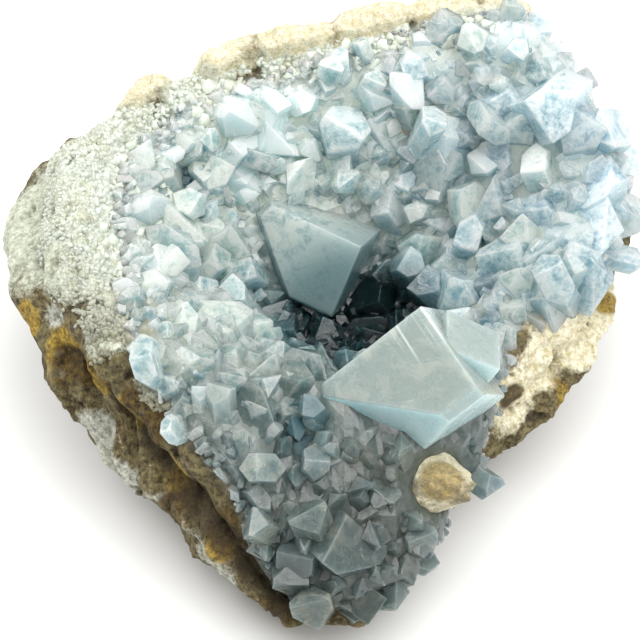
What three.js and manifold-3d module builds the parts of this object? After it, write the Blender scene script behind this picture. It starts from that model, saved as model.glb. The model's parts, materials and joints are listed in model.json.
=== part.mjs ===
// A celestite geode: a broken piece of a hollow stone nodule, with a rough limestone rind and a
// crust of pale blue crystals that line its hollow and run over its front edge.
// Millimetres, +Z up. The origin lies on the small flat spot on which the stone rests, below the
// middle of its outline.
// The tip of the stone points along -Y, and the rim is highest at the back, along +Y.
import * as THREE from 'three';
import { ConvexGeometry } from 'three/addons/geometries/ConvexGeometry.js';
import { mergeVertices } from 'three/addons/utils/BufferGeometryUtils.js';
import Module from 'manifold-3d';

const wasm = await Module();
wasm.setup();

// ---------------------------------------------------------------- driving dimensions

const HOLLOW = { x: 4, y: 7, floor: 18 }; // plan place and height of the deepest stone
const FOOT = { x: 0, y: 5, radius: 19 }; // the flat spot under the stone
const FIT_GAP = 0.3; // between the crust and the stone that carries it
const LAYER_THICKNESS = 2.2; // the solid layer from which the crystals grow
const LAYER_LUMPS = 2.4; // how much the smallest crystals raise that layer, here and there

// Each station is a cut through the stone from the hollow's axis, in a compass direction
// (degrees from +X, towards +Y). crest is the top of the lip, edge the upper outer corner and
// belly the widest place, each as [distance from the axis, height]. crystals says how far out
// the crust runs, counted in rings: 3 is the crest, 4 the edge and 5 the belly.
const STATIONS = [
  { at: -165, crest: [45, 47], edge: [53, 43], belly: [58, 25], crystals: 2.6 },
  { at: -140, crest: [40, 43], edge: [49, 39], belly: [53, 20], crystals: 3.2 },
  { at: -118, crest: [35, 39], edge: [52, 32], belly: [56, 16], crystals: 3.7 },
  { at: -103, crest: [34, 37], edge: [58, 20], belly: [61, 12], crystals: 4.0 },
  { at: -90, crest: [35, 36], edge: [58, 18], belly: [61, 11], crystals: 4.4 },
  { at: -76, crest: [35, 35], edge: [49, 21], belly: [52, 13], crystals: 4.8 },
  { at: -58, crest: [33, 35], edge: [39, 27], belly: [41, 16], crystals: 4.8 },
  { at: -38, crest: [33, 35], edge: [37, 30], belly: [39, 18], crystals: 4.5 },
  { at: -18, crest: [37, 35], edge: [41, 31], belly: [45, 21], crystals: 4.0 },
  { at: 3, crest: [45, 40], edge: [49, 35], belly: [51, 25], crystals: 4.1 },
  { at: 22, crest: [50, 46], edge: [55, 41], belly: [57, 31], crystals: 4.3 },
  { at: 40, crest: [52, 53], edge: [57, 49], belly: [59, 35], crystals: 4.0 },
  { at: 58, crest: [53, 60], edge: [59, 58], belly: [58, 37], crystals: 3.4 },
  { at: 90, crest: [43, 57], edge: [48, 55], belly: [53, 35], crystals: 3.2 },
  { at: 120, crest: [43, 54], edge: [48, 52], belly: [55, 33], crystals: 3.1 },
  { at: 143, crest: [48, 52], edge: [54, 49], belly: [61, 33], crystals: 2.7 },
  { at: 165, crest: [51, 51], edge: [58, 46], belly: [65, 33], crystals: 2.55 },
];

// Celestite's cell, in angstroms: a crystal's faces lie where these edges put them.
const CELL = { a: 8.36, b: 5.35, c: 6.87 };

// The large crystals. at is the middle of the root, tip the compass direction and the rise of the
// long axis in degrees, turn the spin about it, and size [length, width, thickness].
const LARGE_CRYSTALS = [
  // the great block on the front lip, and the wedge that hangs over the pit behind it
  { at: [22, -17, 33], tip: [-145, 10], turn: 150, size: [26, 26, 21], lean: 0.1, point: 0.93 },
  { at: [-3, 23, 27], tip: [-45, 22], turn: 65, size: [20, 22, 18.5], lean: 0.1, point: 0.93 },
  // on the back wall, from the pit upwards
  { at: [15, 18, 18], tip: [-135, 32], turn: 95, size: [12, 11.5, 9], lean: -0.05 },
  { at: [28, 11, 28], tip: [-136, 37], turn: 145, size: [9, 12, 7], lean: -0.1 },
  { at: [18, 16, 26], tip: [-155, 74], turn: 330, size: [7.5, 8.5, 6], lean: 0 },
  { at: [36, 27, 35], tip: [-164, 35], turn: 125, size: [8, 13, 12], lean: -0.2 },
  { at: [25, 35, 40], tip: [-89, 36], turn: 335, size: [8, 7, 6], lean: 0.05 },
  { at: [33, 32, 42], tip: [-119, 53], turn: 40, size: [6, 8, 5.5], lean: -0.2 },
  { at: [18, 38, 38], tip: [-49, 68], turn: 80, size: [18, 9, 5], lean: -0.2 },
  { at: [33, 45, 46], tip: [-105, 30], turn: 175, size: [5.5, 7.5, 5], lean: -0.15 },
  { at: [-11, 33, 42], tip: [-116, 41], turn: 150, size: [6.5, 8, 3.5], lean: 0.15 },
  { at: [-15, 31, 33], tip: [-31, 42], turn: 150, size: [6.5, 8.5, 5.5], lean: 0.1 },
  // on the right shoulder
  { at: [44, 38, 51], tip: [-117, 18], turn: 20, size: [11, 20, 10], lean: 0.15 },
  { at: [55, 32, 49], tip: [-67, 60], turn: 25, size: [8, 11, 8], lean: -0.2 },
  { at: [52, 21, 43], tip: [146, 87], turn: 180, size: [8, 13.5, 12], lean: -0.25 },
  // on the left wall
  { at: [-35, 28, 42], tip: [-59, 18], turn: 140, size: [8, 10, 5.5], lean: 0.15 },
  { at: [-16, 17, 28], tip: [-88, 62], turn: 140, size: [5.5, 8, 6], lean: 0 },
  { at: [-13, 8, 21], tip: [-172, 72], turn: 135, size: [14, 6, 4.5], lean: 0.2 },
  // on the front slope, from the pit's lip down to the tip
  { at: [-5, -13, 28], tip: [103, 41], turn: 120, size: [7, 11.5, 11], lean: 0 },
  { at: [-11, -29, 35], tip: [-92, 87], turn: 60, size: [8, 5.5, 4.5], lean: -0.15 },
  { at: [-10, -38, 34], tip: [-95, 56], turn: 0, size: [7, 8.5, 5], lean: -0.1 },
  { at: [12, -37, 26], tip: [-97, 60], turn: 50, size: [7, 7, 6], lean: -0.2 },
  { at: [-1, -46, 27], tip: [-142, 75], turn: 115, size: [7.5, 8, 7.5], lean: -0.05 },
  { at: [17, -42, 19], tip: [-64, 49], turn: 115, size: [6, 7.5, 6], lean: 0.05 },
  { at: [7, -46, 18], tip: [-82, 73], turn: 5, size: [8.5, 8.5, 6], lean: 0 },
  { at: [12, -48, 11], tip: [-82, 54], turn: 0, size: [7, 8, 7], lean: 0.15 },
  { at: [-1, -55, 16], tip: [-101, 55], turn: 100, size: [6.5, 8.5, 7.5], lean: 0.05 },
];

const ROOT_SHARE = 0.3; // how far a crystal reaches below its root, as a share of its length

// The medium crystals are strewn over the layer by a seeded draw.
const MEDIUM = { seed: 11, tries: 3000, most: 66, spacing: 8, length: [5, 9], width: [5, 8.5] };

// ---------------------------------------------------------------- the stone's surface

const RING_FOOT = 7; // ring number of the flat spot's rim; 8 is its centre
const stationCount = STATIONS.length;

function onStation(station, [distance, height]) {
  const angle = THREE.MathUtils.degToRad(station.at);
  return new THREE.Vector3(
    HOLLOW.x + distance * Math.cos(angle),
    HOLLOW.y + distance * Math.sin(angle),
    height,
  );
}

// The rings of one station, from the hollow's deepest point over the lip to the foot's centre.
function stationRings(station) {
  const [crestDistance, crestHeight] = station.crest;
  const depth = crestHeight - HOLLOW.floor;
  const belly = onStation(station, station.belly);
  const footCentre = new THREE.Vector3(FOOT.x, FOOT.y, 0);
  const outwards = new THREE.Vector3(belly.x, belly.y, 0).sub(footCentre).setLength(FOOT.radius);
  const foot = footCentre.clone().add(outwards);
  const under = foot.clone().lerp(belly, 0.6);
  under.z = 0.26 * belly.z;
  return [
    onStation(station, [0, HOLLOW.floor]),
    onStation(station, [0.3 * crestDistance, HOLLOW.floor + 0.07 * depth]),
    onStation(station, [0.7 * crestDistance, HOLLOW.floor + 0.56 * depth]),
    onStation(station, station.crest),
    onStation(station, station.edge),
    belly,
    under,
    foot,
    footCentre,
  ];
}

const net = STATIONS.map(stationRings);

function catmullRom(before, from, to, after, t) {
  const blend = (p0, p1, p2, p3) => 0.5 * (2 * p1 + (p2 - p0) * t
    + (2 * p0 - 5 * p1 + 4 * p2 - p3) * t * t + (3 * p1 - p0 - 3 * p2 + p3) * t * t * t);
  return new THREE.Vector3(
    blend(before.x, from.x, to.x, after.x),
    blend(before.y, from.y, to.y, after.y),
    blend(before.z, from.z, to.z, after.z),
  );
}

// A point of one station's profile. ring runs from 0 at the hollow's floor to 8 under the foot.
function alongStation(rings, ring) {
  if (ring >= RING_FOOT) return rings[RING_FOOT].clone().lerp(rings[RING_FOOT + 1], ring - RING_FOOT);
  const i = Math.floor(ring);
  const opposite = new THREE.Vector3(
    2 * rings[0].x - rings[1].x, 2 * rings[0].y - rings[1].y, rings[1].z);
  const before = i > 0 ? rings[i - 1] : opposite;
  return catmullRom(before, rings[i], rings[i + 1], rings[i + 2], ring - i);
}

const wrapStation = (i) => ((i % stationCount) + stationCount) % stationCount;

// A point of the smooth stone. around counts stations, ring counts rings.
function smoothStone(around, ring) {
  const i = Math.floor(around);
  const rows = [-1, 0, 1, 2].map((k) => alongStation(net[wrapStation(i + k)], ring));
  return catmullRom(...rows, around - i);
}

function crystalsEnd(around) {
  const i = Math.floor(around);
  const t = around - i;
  const here = STATIONS[wrapStation(i)].crystals;
  return THREE.MathUtils.lerp(here, STATIONS[wrapStation(i + 1)].crystals, t);
}

function stoneNormal(around, ring) {
  const step = 0.02;
  const here = Math.max(ring, 0.05);
  const along = smoothStone(around, Math.min(here + step, 8)).sub(smoothStone(around, here - step));
  const across = smoothStone(around + step, here).sub(smoothStone(around - step, here));
  return along.cross(across).normalize();
}

const smoothStep = (from, to, x) => THREE.MathUtils.smoothstep(x, from, to);

// Lumps, pits and ledges of the weathered rind, as a height above the smooth stone. They fade out
// under the crystals and towards the flat spot.
function rindRelief(point, around, ring) {
  const { x, y, z } = point;
  const lumps = 1.1 * Math.sin(0.19 * x + 1.1 * Math.sin(0.11 * z + 0.6)) * Math.cos(0.17 * y + 0.14 * z)
    + 0.7 * Math.sin(0.43 * x - 0.31 * z + 2.0) * Math.sin(0.39 * y + 0.27 * z + 0.5);
  const ledges = 1.5 * Math.cos(7.85 * ring + 1.4 * Math.sin(0.09 * x - 0.07 * y) + 0.4);
  const pits = -1.6 * smoothStep(0.45, 0.8, Math.sin(0.62 * x + 0.3 * z) * Math.sin(0.55 * y - 0.4 * z));
  const bare = smoothStep(-0.3, 0.6, ring - crystalsEnd(around)) * (1 - smoothStep(6.0, 6.9, ring));
  const wall = bare * smoothStep(3.8, 4.4, ring) * (1 - smoothStep(5.4, 6.2, ring));
  return bare * (lumps + pits) + wall * ledges;
}

function stonePoint(around, ring) {
  const point = smoothStone(around, ring);
  if (ring >= RING_FOOT) return point;
  return point.addScaledVector(stoneNormal(around, ring), rindRelief(point, around, ring));
}

// ---------------------------------------------------------------- solids

// A closed solid from a position-only geometry, its shared vertices merged.
function solidFrom(geometry) {
  geometry.deleteAttribute('normal');
  geometry.deleteAttribute('uv');
  const merged = mergeVertices(geometry, 1e-4);
  return new wasm.Manifold(new wasm.Mesh({
    numProp: 3,
    vertProperties: merged.attributes.position.array,
    triVerts: new Uint32Array(merged.index.array),
  }));
}

function geometryFrom(solid) {
  const mesh = solid.getMesh();
  const geometry = new THREE.BufferGeometry();
  geometry.setAttribute('position', new THREE.BufferAttribute(mesh.vertProperties, 3));
  geometry.setIndex(new THREE.BufferAttribute(mesh.triVerts, 1));
  geometry.computeVertexNormals();
  return geometry;
}

// A closed skin through rings of points: the first and the last ring each shrink to one point.
function skinOf(firstPole, rings, lastPole) {
  const count = rings[0].length;
  const positions = [firstPole, ...rings.flat(), lastPole].flatMap((p) => [p.x, p.y, p.z]);
  const lastIndex = 1 + rings.length * count;
  const corner = (ring, i) => 1 + ring * count + (i % count);
  const index = [];
  for (let i = 0; i < count; i += 1) {
    index.push(0, corner(0, i), corner(0, i + 1));
    for (let ring = 0; ring + 1 < rings.length; ring += 1) {
      index.push(corner(ring, i), corner(ring + 1, i), corner(ring + 1, i + 1));
      index.push(corner(ring, i), corner(ring + 1, i + 1), corner(ring, i + 1));
    }
    index.push(lastIndex, corner(rings.length - 1, i + 1), corner(rings.length - 1, i));
  }
  const geometry = new THREE.BufferGeometry();
  geometry.setAttribute('position', new THREE.Float32BufferAttribute(positions, 3));
  geometry.setIndex(index);
  return geometry;
}

const AROUND_STEPS = 3 * stationCount;
const aroundOf = (i) => (i * stationCount) / AROUND_STEPS;
const around = Array.from({ length: AROUND_STEPS }, (_, i) => aroundOf(i));

// The stone's rings lie closer together on the weathered wall than in the hollow.
const STONE_RINGS = [
  0.6, 1.1, 1.5, 1.9, 2.3, 2.65, 3, 3.3, 3.6, 3.9, 4.15, 4.4, 4.65, 4.9, 5.15, 5.4, 5.8, 6.3, 7];

// The stone's surface, moved outwards by what grow says for each place.
function stoneSkin(grow) {
  const grown = (a, ring) => {
    const normal = ring < RING_FOOT ? stoneNormal(a, ring) : new THREE.Vector3(0, 0, -1);
    return stonePoint(a, ring).addScaledVector(normal, grow(a, ring));
  };
  const rings = STONE_RINGS.map((ring) => around.map((a) => grown(a, ring)));
  return skinOf(grown(0, 0), rings, grown(0, RING_FOOT + 1));
}

// The layer under the crystals, lumpy with the smallest of them. Past its edge it dips into the
// stone, so that trimming it there gives it a thin rim.
function layerSkin() {
  const draw = drawFrom(MEDIUM.seed + 1);
  return stoneSkin((a, ring) => {
    const height = LAYER_THICKNESS + LAYER_LUMPS * draw();
    return THREE.MathUtils.lerp(height, -1, smoothStep(-0.3, 0.15, ring - crystalsEnd(a)));
  });
}

// ---------------------------------------------------------------- crystals

// A face's direction from its indices h, k, l. The crystal's long axis, a, is +Z here,
// its width, b, is X and its thickness, c, is Y.
function faceNormal(h, k, l) {
  return new THREE.Vector3(k / CELL.b, l / CELL.c, h / CELL.a).normalize();
}

// The planes that bound a crystal of this length, width and thickness: flat faces, a hexagonal
// belt and a chisel tip. lean moves the chisel's ridge sideways, as a share of the width, and
// point, where it is given, sets how far two small faces cut into the tip.
function crystalPlanes([length, width, thickness], lean, point) {
  const planes = [];
  const add = (h, k, l, through) => {
    const normal = faceNormal(h, k, l);
    planes.push(new THREE.Plane(normal, -normal.dot(through)));
  };
  for (const side of [1, -1]) {
    add(0, 0, side, new THREE.Vector3(0, side * thickness / 2, 0));
    for (const other of [1, -1]) add(0, side, other, new THREE.Vector3(side * width / 2, 0, 0));
    add(2, side, 0, new THREE.Vector3(lean * width, 0, length));
    if (point) add(1, 0, side, new THREE.Vector3(0, 0, length * point));
  }
  add(-1, 0, 0, new THREE.Vector3(0, 0, -ROOT_SHARE * length));
  return planes;
}

// The corners where three of the planes meet and no other plane cuts them off.
function cornersOf(planes) {
  const corners = [];
  const inside = (p) => planes.every((plane) => plane.distanceToPoint(p) < 1e-4);
  for (let i = 0; i < planes.length; i += 1) {
    for (let j = i + 1; j < planes.length; j += 1) {
      for (let k = j + 1; k < planes.length; k += 1) {
        const corner = meetingPoint(planes[i], planes[j], planes[k]);
        if (corner && inside(corner)) corners.push(corner);
      }
    }
  }
  return corners;
}

function meetingPoint(p, q, r) {
  const cross = new THREE.Vector3().crossVectors(q.normal, r.normal);
  const volume = p.normal.dot(cross);
  if (Math.abs(volume) < 1e-3) return null;
  const second = new THREE.Vector3().crossVectors(r.normal, p.normal).multiplyScalar(q.constant);
  const third = new THREE.Vector3().crossVectors(p.normal, q.normal).multiplyScalar(r.constant);
  return cross.multiplyScalar(p.constant).add(second).add(third).divideScalar(-volume);
}

// A crystal standing at root, its long axis along tip, turned about that axis.
function crystalSolid({ root, tip, turn, size, lean = 0, point = 0 }) {
  const geometry = new ConvexGeometry(cornersOf(crystalPlanes(size, lean, point)));
  const stand = new THREE.Quaternion().setFromUnitVectors(new THREE.Vector3(0, 0, 1), tip);
  const spin = new THREE.Quaternion().setFromAxisAngle(
    new THREE.Vector3(0, 0, 1), THREE.MathUtils.degToRad(turn));
  geometry.applyQuaternion(stand.multiply(spin));
  geometry.translate(root.x, root.y, root.z);
  return solidFrom(geometry);
}

function compassTip(compass, rise) {
  const a = THREE.MathUtils.degToRad(compass);
  const e = THREE.MathUtils.degToRad(rise);
  return new THREE.Vector3(Math.cos(a) * Math.cos(e), Math.sin(a) * Math.cos(e), Math.sin(e));
}

const largeCrystals = LARGE_CRYSTALS.map(({ at, tip, ...form }) => ({
  root: new THREE.Vector3(...at), tip: compassTip(...tip), ...form }));

// A seeded draw of numbers from 0 to 1, so that the same crystals grow each time.
function drawFrom(seed) {
  let state = seed;
  return () => {
    state = (Math.imul(state, 1664525) + 1013904223) >>> 0;
    return state / 2 ** 32;
  };
}

function strewnCrystals({ seed, tries, most, spacing, length, width }, taken) {
  const draw = drawFrom(seed);
  const within = ([low, high]) => low + (high - low) * draw();
  const found = [];
  for (let i = 0; i < tries && found.length < most; i += 1) {
    const a = draw() * stationCount;
    const ring = Math.sqrt(draw()) * crystalsEnd(a) * 0.985;
    const tilt = new THREE.Vector3(draw() - 0.5, draw() - 0.5, draw() - 0.5).multiplyScalar(1.1);
    const form = [within(length), within(width)];
    const thick = form[1] * (0.6 + 0.35 * draw());
    const turn = 360 * draw();
    const lean = 0.3 * (draw() - 0.5);
    const normal = stoneNormal(a, ring);
    const root = stonePoint(a, ring).addScaledVector(normal, 0.8);
    const near = [...taken, ...found].some(
      (other) => other.root.distanceTo(root) < 0.5 * (spacing + 0.9 * other.size[1]));
    if (near) continue;
    const tip = normal.add(tilt).normalize();
    found.push({ root, tip, turn, size: [form[0], form[1], thick], lean });
  }
  return found;
}

// ---------------------------------------------------------------- assembly

const largest = (solid) => solid.decompose().reduce((a, b) => (b.volume() > a.volume() ? b : a));

function stoneRind() {
  return solidFrom(stoneSkin(() => 0));
}

function crystalCrust() {
  const medium = strewnCrystals(MEDIUM, largeCrystals);
  const grown = [...largeCrystals, ...medium].map(crystalSolid);
  const whole = wasm.Manifold.union([solidFrom(layerSkin()), ...grown]);
  const trimmed = whole.subtract(solidFrom(stoneSkin(() => FIT_GAP)));
  return largest(trimmed.simplify(0.1));
}

function namedMesh(name, solid, material) {
  const mesh = new THREE.Mesh(geometryFrom(solid), new THREE.MeshStandardMaterial(material));
  mesh.name = name;
  return mesh;
}

const geode = new THREE.Group();
geode.add(namedMesh('stone_rind', stoneRind(), { color: 0xa89f86, roughness: 0.95, metalness: 0 }));
geode.add(namedMesh('crystal_crust', crystalCrust(), { color: 0xb4ccd2, roughness: 0.2, metalness: 0 }));

export default geode;
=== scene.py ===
# %% [markdown]
# # A celestite geode
#
# A geode is a hollow nodule of stone that mineral water has lined with crystals. This one is a
# broken piece of a limestone nodule: a rough ochre and grey rind, a hollow that is open upwards,
# and a crust of pale blue celestite that fills the hollow and runs over the front slope down to
# the stone's tip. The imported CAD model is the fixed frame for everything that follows. It has two
# nodes, `stone_rind` and `crystal_crust`, and each of them is replaced by a finer mesh in the
# same place.

# %% Load the frame
import itertools
import json
import math

import bmesh
import bpy
import numpy as np
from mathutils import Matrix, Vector

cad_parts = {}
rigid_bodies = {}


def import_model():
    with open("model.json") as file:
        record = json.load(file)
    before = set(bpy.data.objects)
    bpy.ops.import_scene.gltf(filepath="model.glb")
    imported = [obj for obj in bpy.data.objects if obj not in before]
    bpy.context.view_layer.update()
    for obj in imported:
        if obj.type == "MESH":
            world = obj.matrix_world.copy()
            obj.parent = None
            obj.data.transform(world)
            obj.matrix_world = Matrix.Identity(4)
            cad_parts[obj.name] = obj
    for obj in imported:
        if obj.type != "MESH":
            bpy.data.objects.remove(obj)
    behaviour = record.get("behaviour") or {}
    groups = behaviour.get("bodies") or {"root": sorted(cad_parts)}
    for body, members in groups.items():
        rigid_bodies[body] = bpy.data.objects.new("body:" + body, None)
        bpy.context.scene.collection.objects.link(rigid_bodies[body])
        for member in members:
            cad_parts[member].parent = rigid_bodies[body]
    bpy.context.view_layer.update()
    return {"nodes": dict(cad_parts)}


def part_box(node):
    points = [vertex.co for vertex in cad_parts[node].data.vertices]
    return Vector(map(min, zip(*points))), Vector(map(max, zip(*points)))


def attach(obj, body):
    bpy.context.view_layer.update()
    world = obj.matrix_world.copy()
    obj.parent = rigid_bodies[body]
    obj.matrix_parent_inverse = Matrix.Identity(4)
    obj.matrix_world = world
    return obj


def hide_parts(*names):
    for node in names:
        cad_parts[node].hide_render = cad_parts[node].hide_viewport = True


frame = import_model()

MM = 0.001  # one millimetre in metres
for name in frame["nodes"]:
    low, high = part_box(name)
    print(name, "is", [round((b - a) / MM, 1) for a, b in zip(low, high)], "mm")

# %% [markdown]
# ## The camera
#
# The stone is seen from in front and well above, with a long lens, so the hollow shows to its
# floor. A camera could be aimed by hand; here it is placed by its distance, its rise above the
# horizon and the width that its picture has at the stone's middle, because those three can be
# measured and changed one at a time.

# %% Place the camera
PICTURE_WIDTH = 0.121  # metres across the picture at the target
CAMERA_DISTANCE = 0.52
CAMERA_RISE = math.radians(48)
TARGET = Vector((0, 0, 0.032))
SENSOR_WIDTH = 36.0


def place_camera():
    """A camera at target + distance * (0, -cos rise, sin rise), looking at the target. Its lens
    is half the sensor divided by half the picture's width per metre of distance."""
    back = Vector((0, -math.cos(CAMERA_RISE), math.sin(CAMERA_RISE)))
    data = bpy.data.cameras.new("camera")
    data.sensor_width = SENSOR_WIDTH
    data.lens = (SENSOR_WIDTH / 2) / (PICTURE_WIDTH / 2 / CAMERA_DISTANCE)
    data.clip_start, data.clip_end = 0.01, 10
    camera = bpy.data.objects.new("camera", data)
    camera.location = TARGET + back * CAMERA_DISTANCE
    camera.rotation_euler = (-back).to_track_quat("-Z", "Y").to_euler()
    bpy.context.scene.collection.objects.link(camera)
    bpy.context.scene.camera = camera
    return camera


print("lens", round(place_camera().data.lens, 1), "mm")

# %% [markdown]
# ## The shape of the stone
#
# The real stone has no axis and no flat sides, but it can be cut. Seventeen cuts through the
# hollow's axis, each in its own compass direction, hold the lip, the outer corner and the
# widest place of the stone there. A smooth surface through these cuts has two parameters: how
# far round one goes, counted in cuts, and how far along a cut, counted in rings from the floor
# of the hollow (0) over the lip (3), the outer corner (4) and the widest place (5) to the flat
# spot under the stone (7) and its centre (8).
#
# It could be sculpted, but a formula can be asked for any point and its normal. That is what the
# rind, the crust and each single crystal need.

# %% The cuts through the stone
HOLLOW = {"x": 4, "y": 7, "floor": 18}  # plan place and height of the deepest stone, mm
FOOT = {"x": 0, "y": 5, "radius": 19}  # the flat spot under the stone, mm
RING_FOOT = 7  # the flat spot's edge
RING_LAST = 8  # the flat spot's centre
# two places on the hollow's wall, as shares of the lip's distance and of the hollow's depth
WALL = ((0.3, 0.07), (0.7, 0.56))
# the place between the flat spot and the widest place, as shares of the way and of the height
UNDER = (0.6, 0.26)

# Compass direction (degrees from +X towards +Y), then lip, outer corner and widest place, each as
# (distance from the hollow's axis, height) in mm, then the ring at which the crystals end.
STATIONS = [
    (-165, (45, 47), (53, 43), (58, 25), 2.6),
    (-140, (40, 43), (49, 39), (53, 20), 3.2),
    (-118, (35, 39), (52, 32), (56, 16), 3.7),
    (-103, (34, 37), (58, 20), (61, 12), 4.0),
    (-90, (35, 36), (58, 18), (61, 11), 4.4),
    (-76, (35, 35), (49, 21), (52, 13), 4.8),
    (-58, (33, 35), (39, 27), (41, 16), 4.8),
    (-38, (33, 35), (37, 30), (39, 18), 4.5),
    (-18, (37, 35), (41, 31), (45, 21), 4.0),
    (3, (45, 40), (49, 35), (51, 25), 4.1),
    (22, (50, 46), (55, 41), (57, 31), 4.3),
    (40, (52, 53), (57, 49), (59, 35), 4.0),
    (58, (53, 60), (59, 58), (58, 37), 3.4),
    (90, (43, 57), (48, 55), (53, 35), 3.2),
    (120, (43, 54), (48, 52), (55, 33), 3.1),
    (143, (48, 52), (54, 49), (61, 33), 2.7),
    (165, (51, 51), (58, 46), (65, 33), 2.55),
]
COMPASS = np.radians([station[0] for station in STATIONS])
CRYSTALS_END = np.array([station[4] for station in STATIONS])


def station_net():
    """The rings' points at each station, as an array of stations × rings × xyz in mm. Before
    ring 0 comes one more point, ring 1 mirrored through the hollow's axis, for the curve's
    start."""
    direction = np.stack([np.cos(COMPASS), np.sin(COMPASS)], 1)
    centre = np.array([HOLLOW["x"], HOLLOW["y"]])
    lip, corner, belly = (np.array([s[k] for s in STATIONS], float) for k in (1, 2, 3))
    depth = lip[:, 1] - HOLLOW["floor"]

    def at(distance, height):
        """A point on each cut, at a distance from the hollow's axis and at a height."""
        plan = centre + direction * np.asarray(distance)[:, None]
        return np.concatenate([plan, np.asarray(height)[:, None]], 1)

    nothing = np.zeros(len(STATIONS))
    widest = at(belly[:, 0], belly[:, 1])
    foot_centre = np.array([FOOT["x"], FOOT["y"], 0.0])
    outwards = (widest - foot_centre) * [1, 1, 0]
    outwards /= np.linalg.norm(outwards, axis=1, keepdims=True)
    foot = foot_centre + FOOT["radius"] * outwards
    under = foot + UNDER[0] * (widest - foot)
    under[:, 2] = UNDER[1] * widest[:, 2]
    (inner, low), (outer, high) = WALL
    rings = [
        at(-inner * lip[:, 0], HOLLOW["floor"] + low * depth),
        at(nothing, HOLLOW["floor"] + nothing),
        at(inner * lip[:, 0], HOLLOW["floor"] + low * depth),
        at(outer * lip[:, 0], HOLLOW["floor"] + high * depth),
        at(lip[:, 0], lip[:, 1]),
        at(corner[:, 0], corner[:, 1]),
        widest,
        under,
        foot,
        np.broadcast_to(foot_centre, foot.shape),
    ]
    return np.stack(rings, 1)


NET = station_net()
print("net of", NET.shape[0], "cuts and", NET.shape[1] - 1, "rings")

# %% [markdown]
# Between the cuts the surface has to be smooth, and it has to go through every point that was
# set. A Catmull-Rom curve does both: its slope at a point comes from the two neighbours of that
# point. One such curve runs along each cut, and one across the four nearest cuts.


# %% The smooth surface and its normal
def catmull_rom(before, start, end, after, t):
    """The cubic through start (t = 0) and end (t = 1) whose slope at each of them is half the
    step between its neighbours."""
    return 0.5 * (2 * start + (end - before) * t
                  + (2 * before - 5 * start + 4 * end - after) * t ** 2
                  + (3 * start - before - 3 * end + after) * t ** 3)


def smooth_stone(around, ring):
    """The point of the smooth stone at a place: a Catmull-Rom curve along four neighbouring
    cuts, then one more across them. Inside the flat spot the cuts are straight lines."""
    around, ring = np.broadcast_arrays(np.asarray(around, float), np.asarray(ring, float))
    cut = np.floor(around).astype(int)
    first = np.clip(np.floor(ring).astype(int), 0, RING_FOOT - 1)
    along = (ring - first)[..., None]
    inside_foot = (ring - RING_FOOT)[..., None]
    rows = []
    for k in (-1, 0, 1, 2):
        s = (cut + k) % len(STATIONS)
        curve = catmull_rom(*(NET[s, first + j] for j in range(4)), along)
        foot, centre = NET[s, RING_FOOT + 1], NET[s, RING_LAST + 1]
        rows.append(np.where(inside_foot >= 0, foot + (centre - foot) * inside_foot, curve))
    return catmull_rom(*rows, (around - cut)[..., None])


def unit(vectors):
    """Vectors divided by their own length."""
    return vectors / np.maximum(np.linalg.norm(vectors, axis=-1, keepdims=True), 1e-12)


def stone_normal(around, ring):
    """The outward unit normal: the cross product of a short step along the cut and a short step
    around the stone."""
    here = np.maximum(ring, 0.05)
    along = (smooth_stone(around, np.minimum(here + 0.02, RING_LAST))
             - smooth_stone(around, here - 0.02))
    across = smooth_stone(around + 0.02, here) - smooth_stone(around - 0.02, here)
    return unit(np.cross(along, across))


print("deepest stone at", smooth_stone(0, 0).round(1), "mm")

# %% [markdown]
# The crystals end at a ring of their own on each cut. The finished druse follows the CAD solid's
# edge, and leaves it in three places: it stops short of it on the front right and on the back
# lip, where bare stone shows, and runs on a little at the front left.

# %% Where the crystals end
# cut, shift of the edge in rings, and how many cuts away the shift is still full, and gone
DRUSE_SHIFTS = [(7.8, -1.3, 0, 1.8), (13.2, -0.35, 0.4, 1.8), (1, 0.35, 0.3, 1.4)]


def crystals_end(around):
    """The ring at which the crystals end, in a straight line from each cut to the next."""
    cut = np.floor(around).astype(int)
    here = CRYSTALS_END[cut % len(STATIONS)]
    there = CRYSTALS_END[(cut + 1) % len(STATIONS)]
    return here + (there - here) * (around - cut)


def smooth_step(low, high, x):
    """0 below low, 1 above high, and 3t² − 2t³ between them."""
    t = np.clip((x - low) / (high - low), 0, 1)
    return t * t * (3 - 2 * t)


def druse_end(around):
    """The ring at which the finished druse ends: the CAD's edge plus the three shifts, each of
    which fades out with the distance from its cut."""
    ring = crystals_end(around)
    for cut, shift, full, gone in DRUSE_SHIFTS:
        ring = ring + shift * (1 - smooth_step(full, gone, np.abs(around - cut)))
    return ring


print("at cut 7.8 the druse ends at ring", float(druse_end(np.array(7.8)).round(2)))

# %% [markdown]
# ## Noise made of whole numbers
#
# Weathered stone is rough at every size, from lumps as wide as a thumb to single grains. The
# surface needs that in its mesh, and not only in its shading, so the noise is worked out here
# with numpy. Each cell of a grid gets a number from its own three whole coordinates, mixed by
# multiplication, so the same place always gives the same number and nothing has to be stored.


# %% Noise
def cell_number(cells, seed):
    """A number from 0 to 1 for each whole-numbered cell: its coordinates times three large odd
    numbers, folded and multiplied once more."""
    keep = 0xFFFFFFFF
    n = (cells[..., 0] * 374761393 + cells[..., 1] * 668265263
         + cells[..., 2] * 1274126177 + seed * 974634777) & keep
    n = ((n ^ (n >> 13)) * 1274126177) & keep
    return ((n ^ (n >> 16)) & 0xFFFF) / 65535


def value_noise(points, cell, seed):
    """Smooth noise from 0 to 1: the numbers of a cell's eight corners, blended by 3t² − 2t³
    along each side. cell is its size in mm."""
    base = np.floor(points / cell)
    t = points / cell - base
    t = t * t * (3 - 2 * t)
    base = base.astype(np.int64)
    total = 0
    for corner in itertools.product((0, 1), repeat=3):
        weight = np.prod(np.where(corner, t, 1 - t), axis=-1)
        total = total + weight * cell_number(base + corner, seed)
    return total


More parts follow.
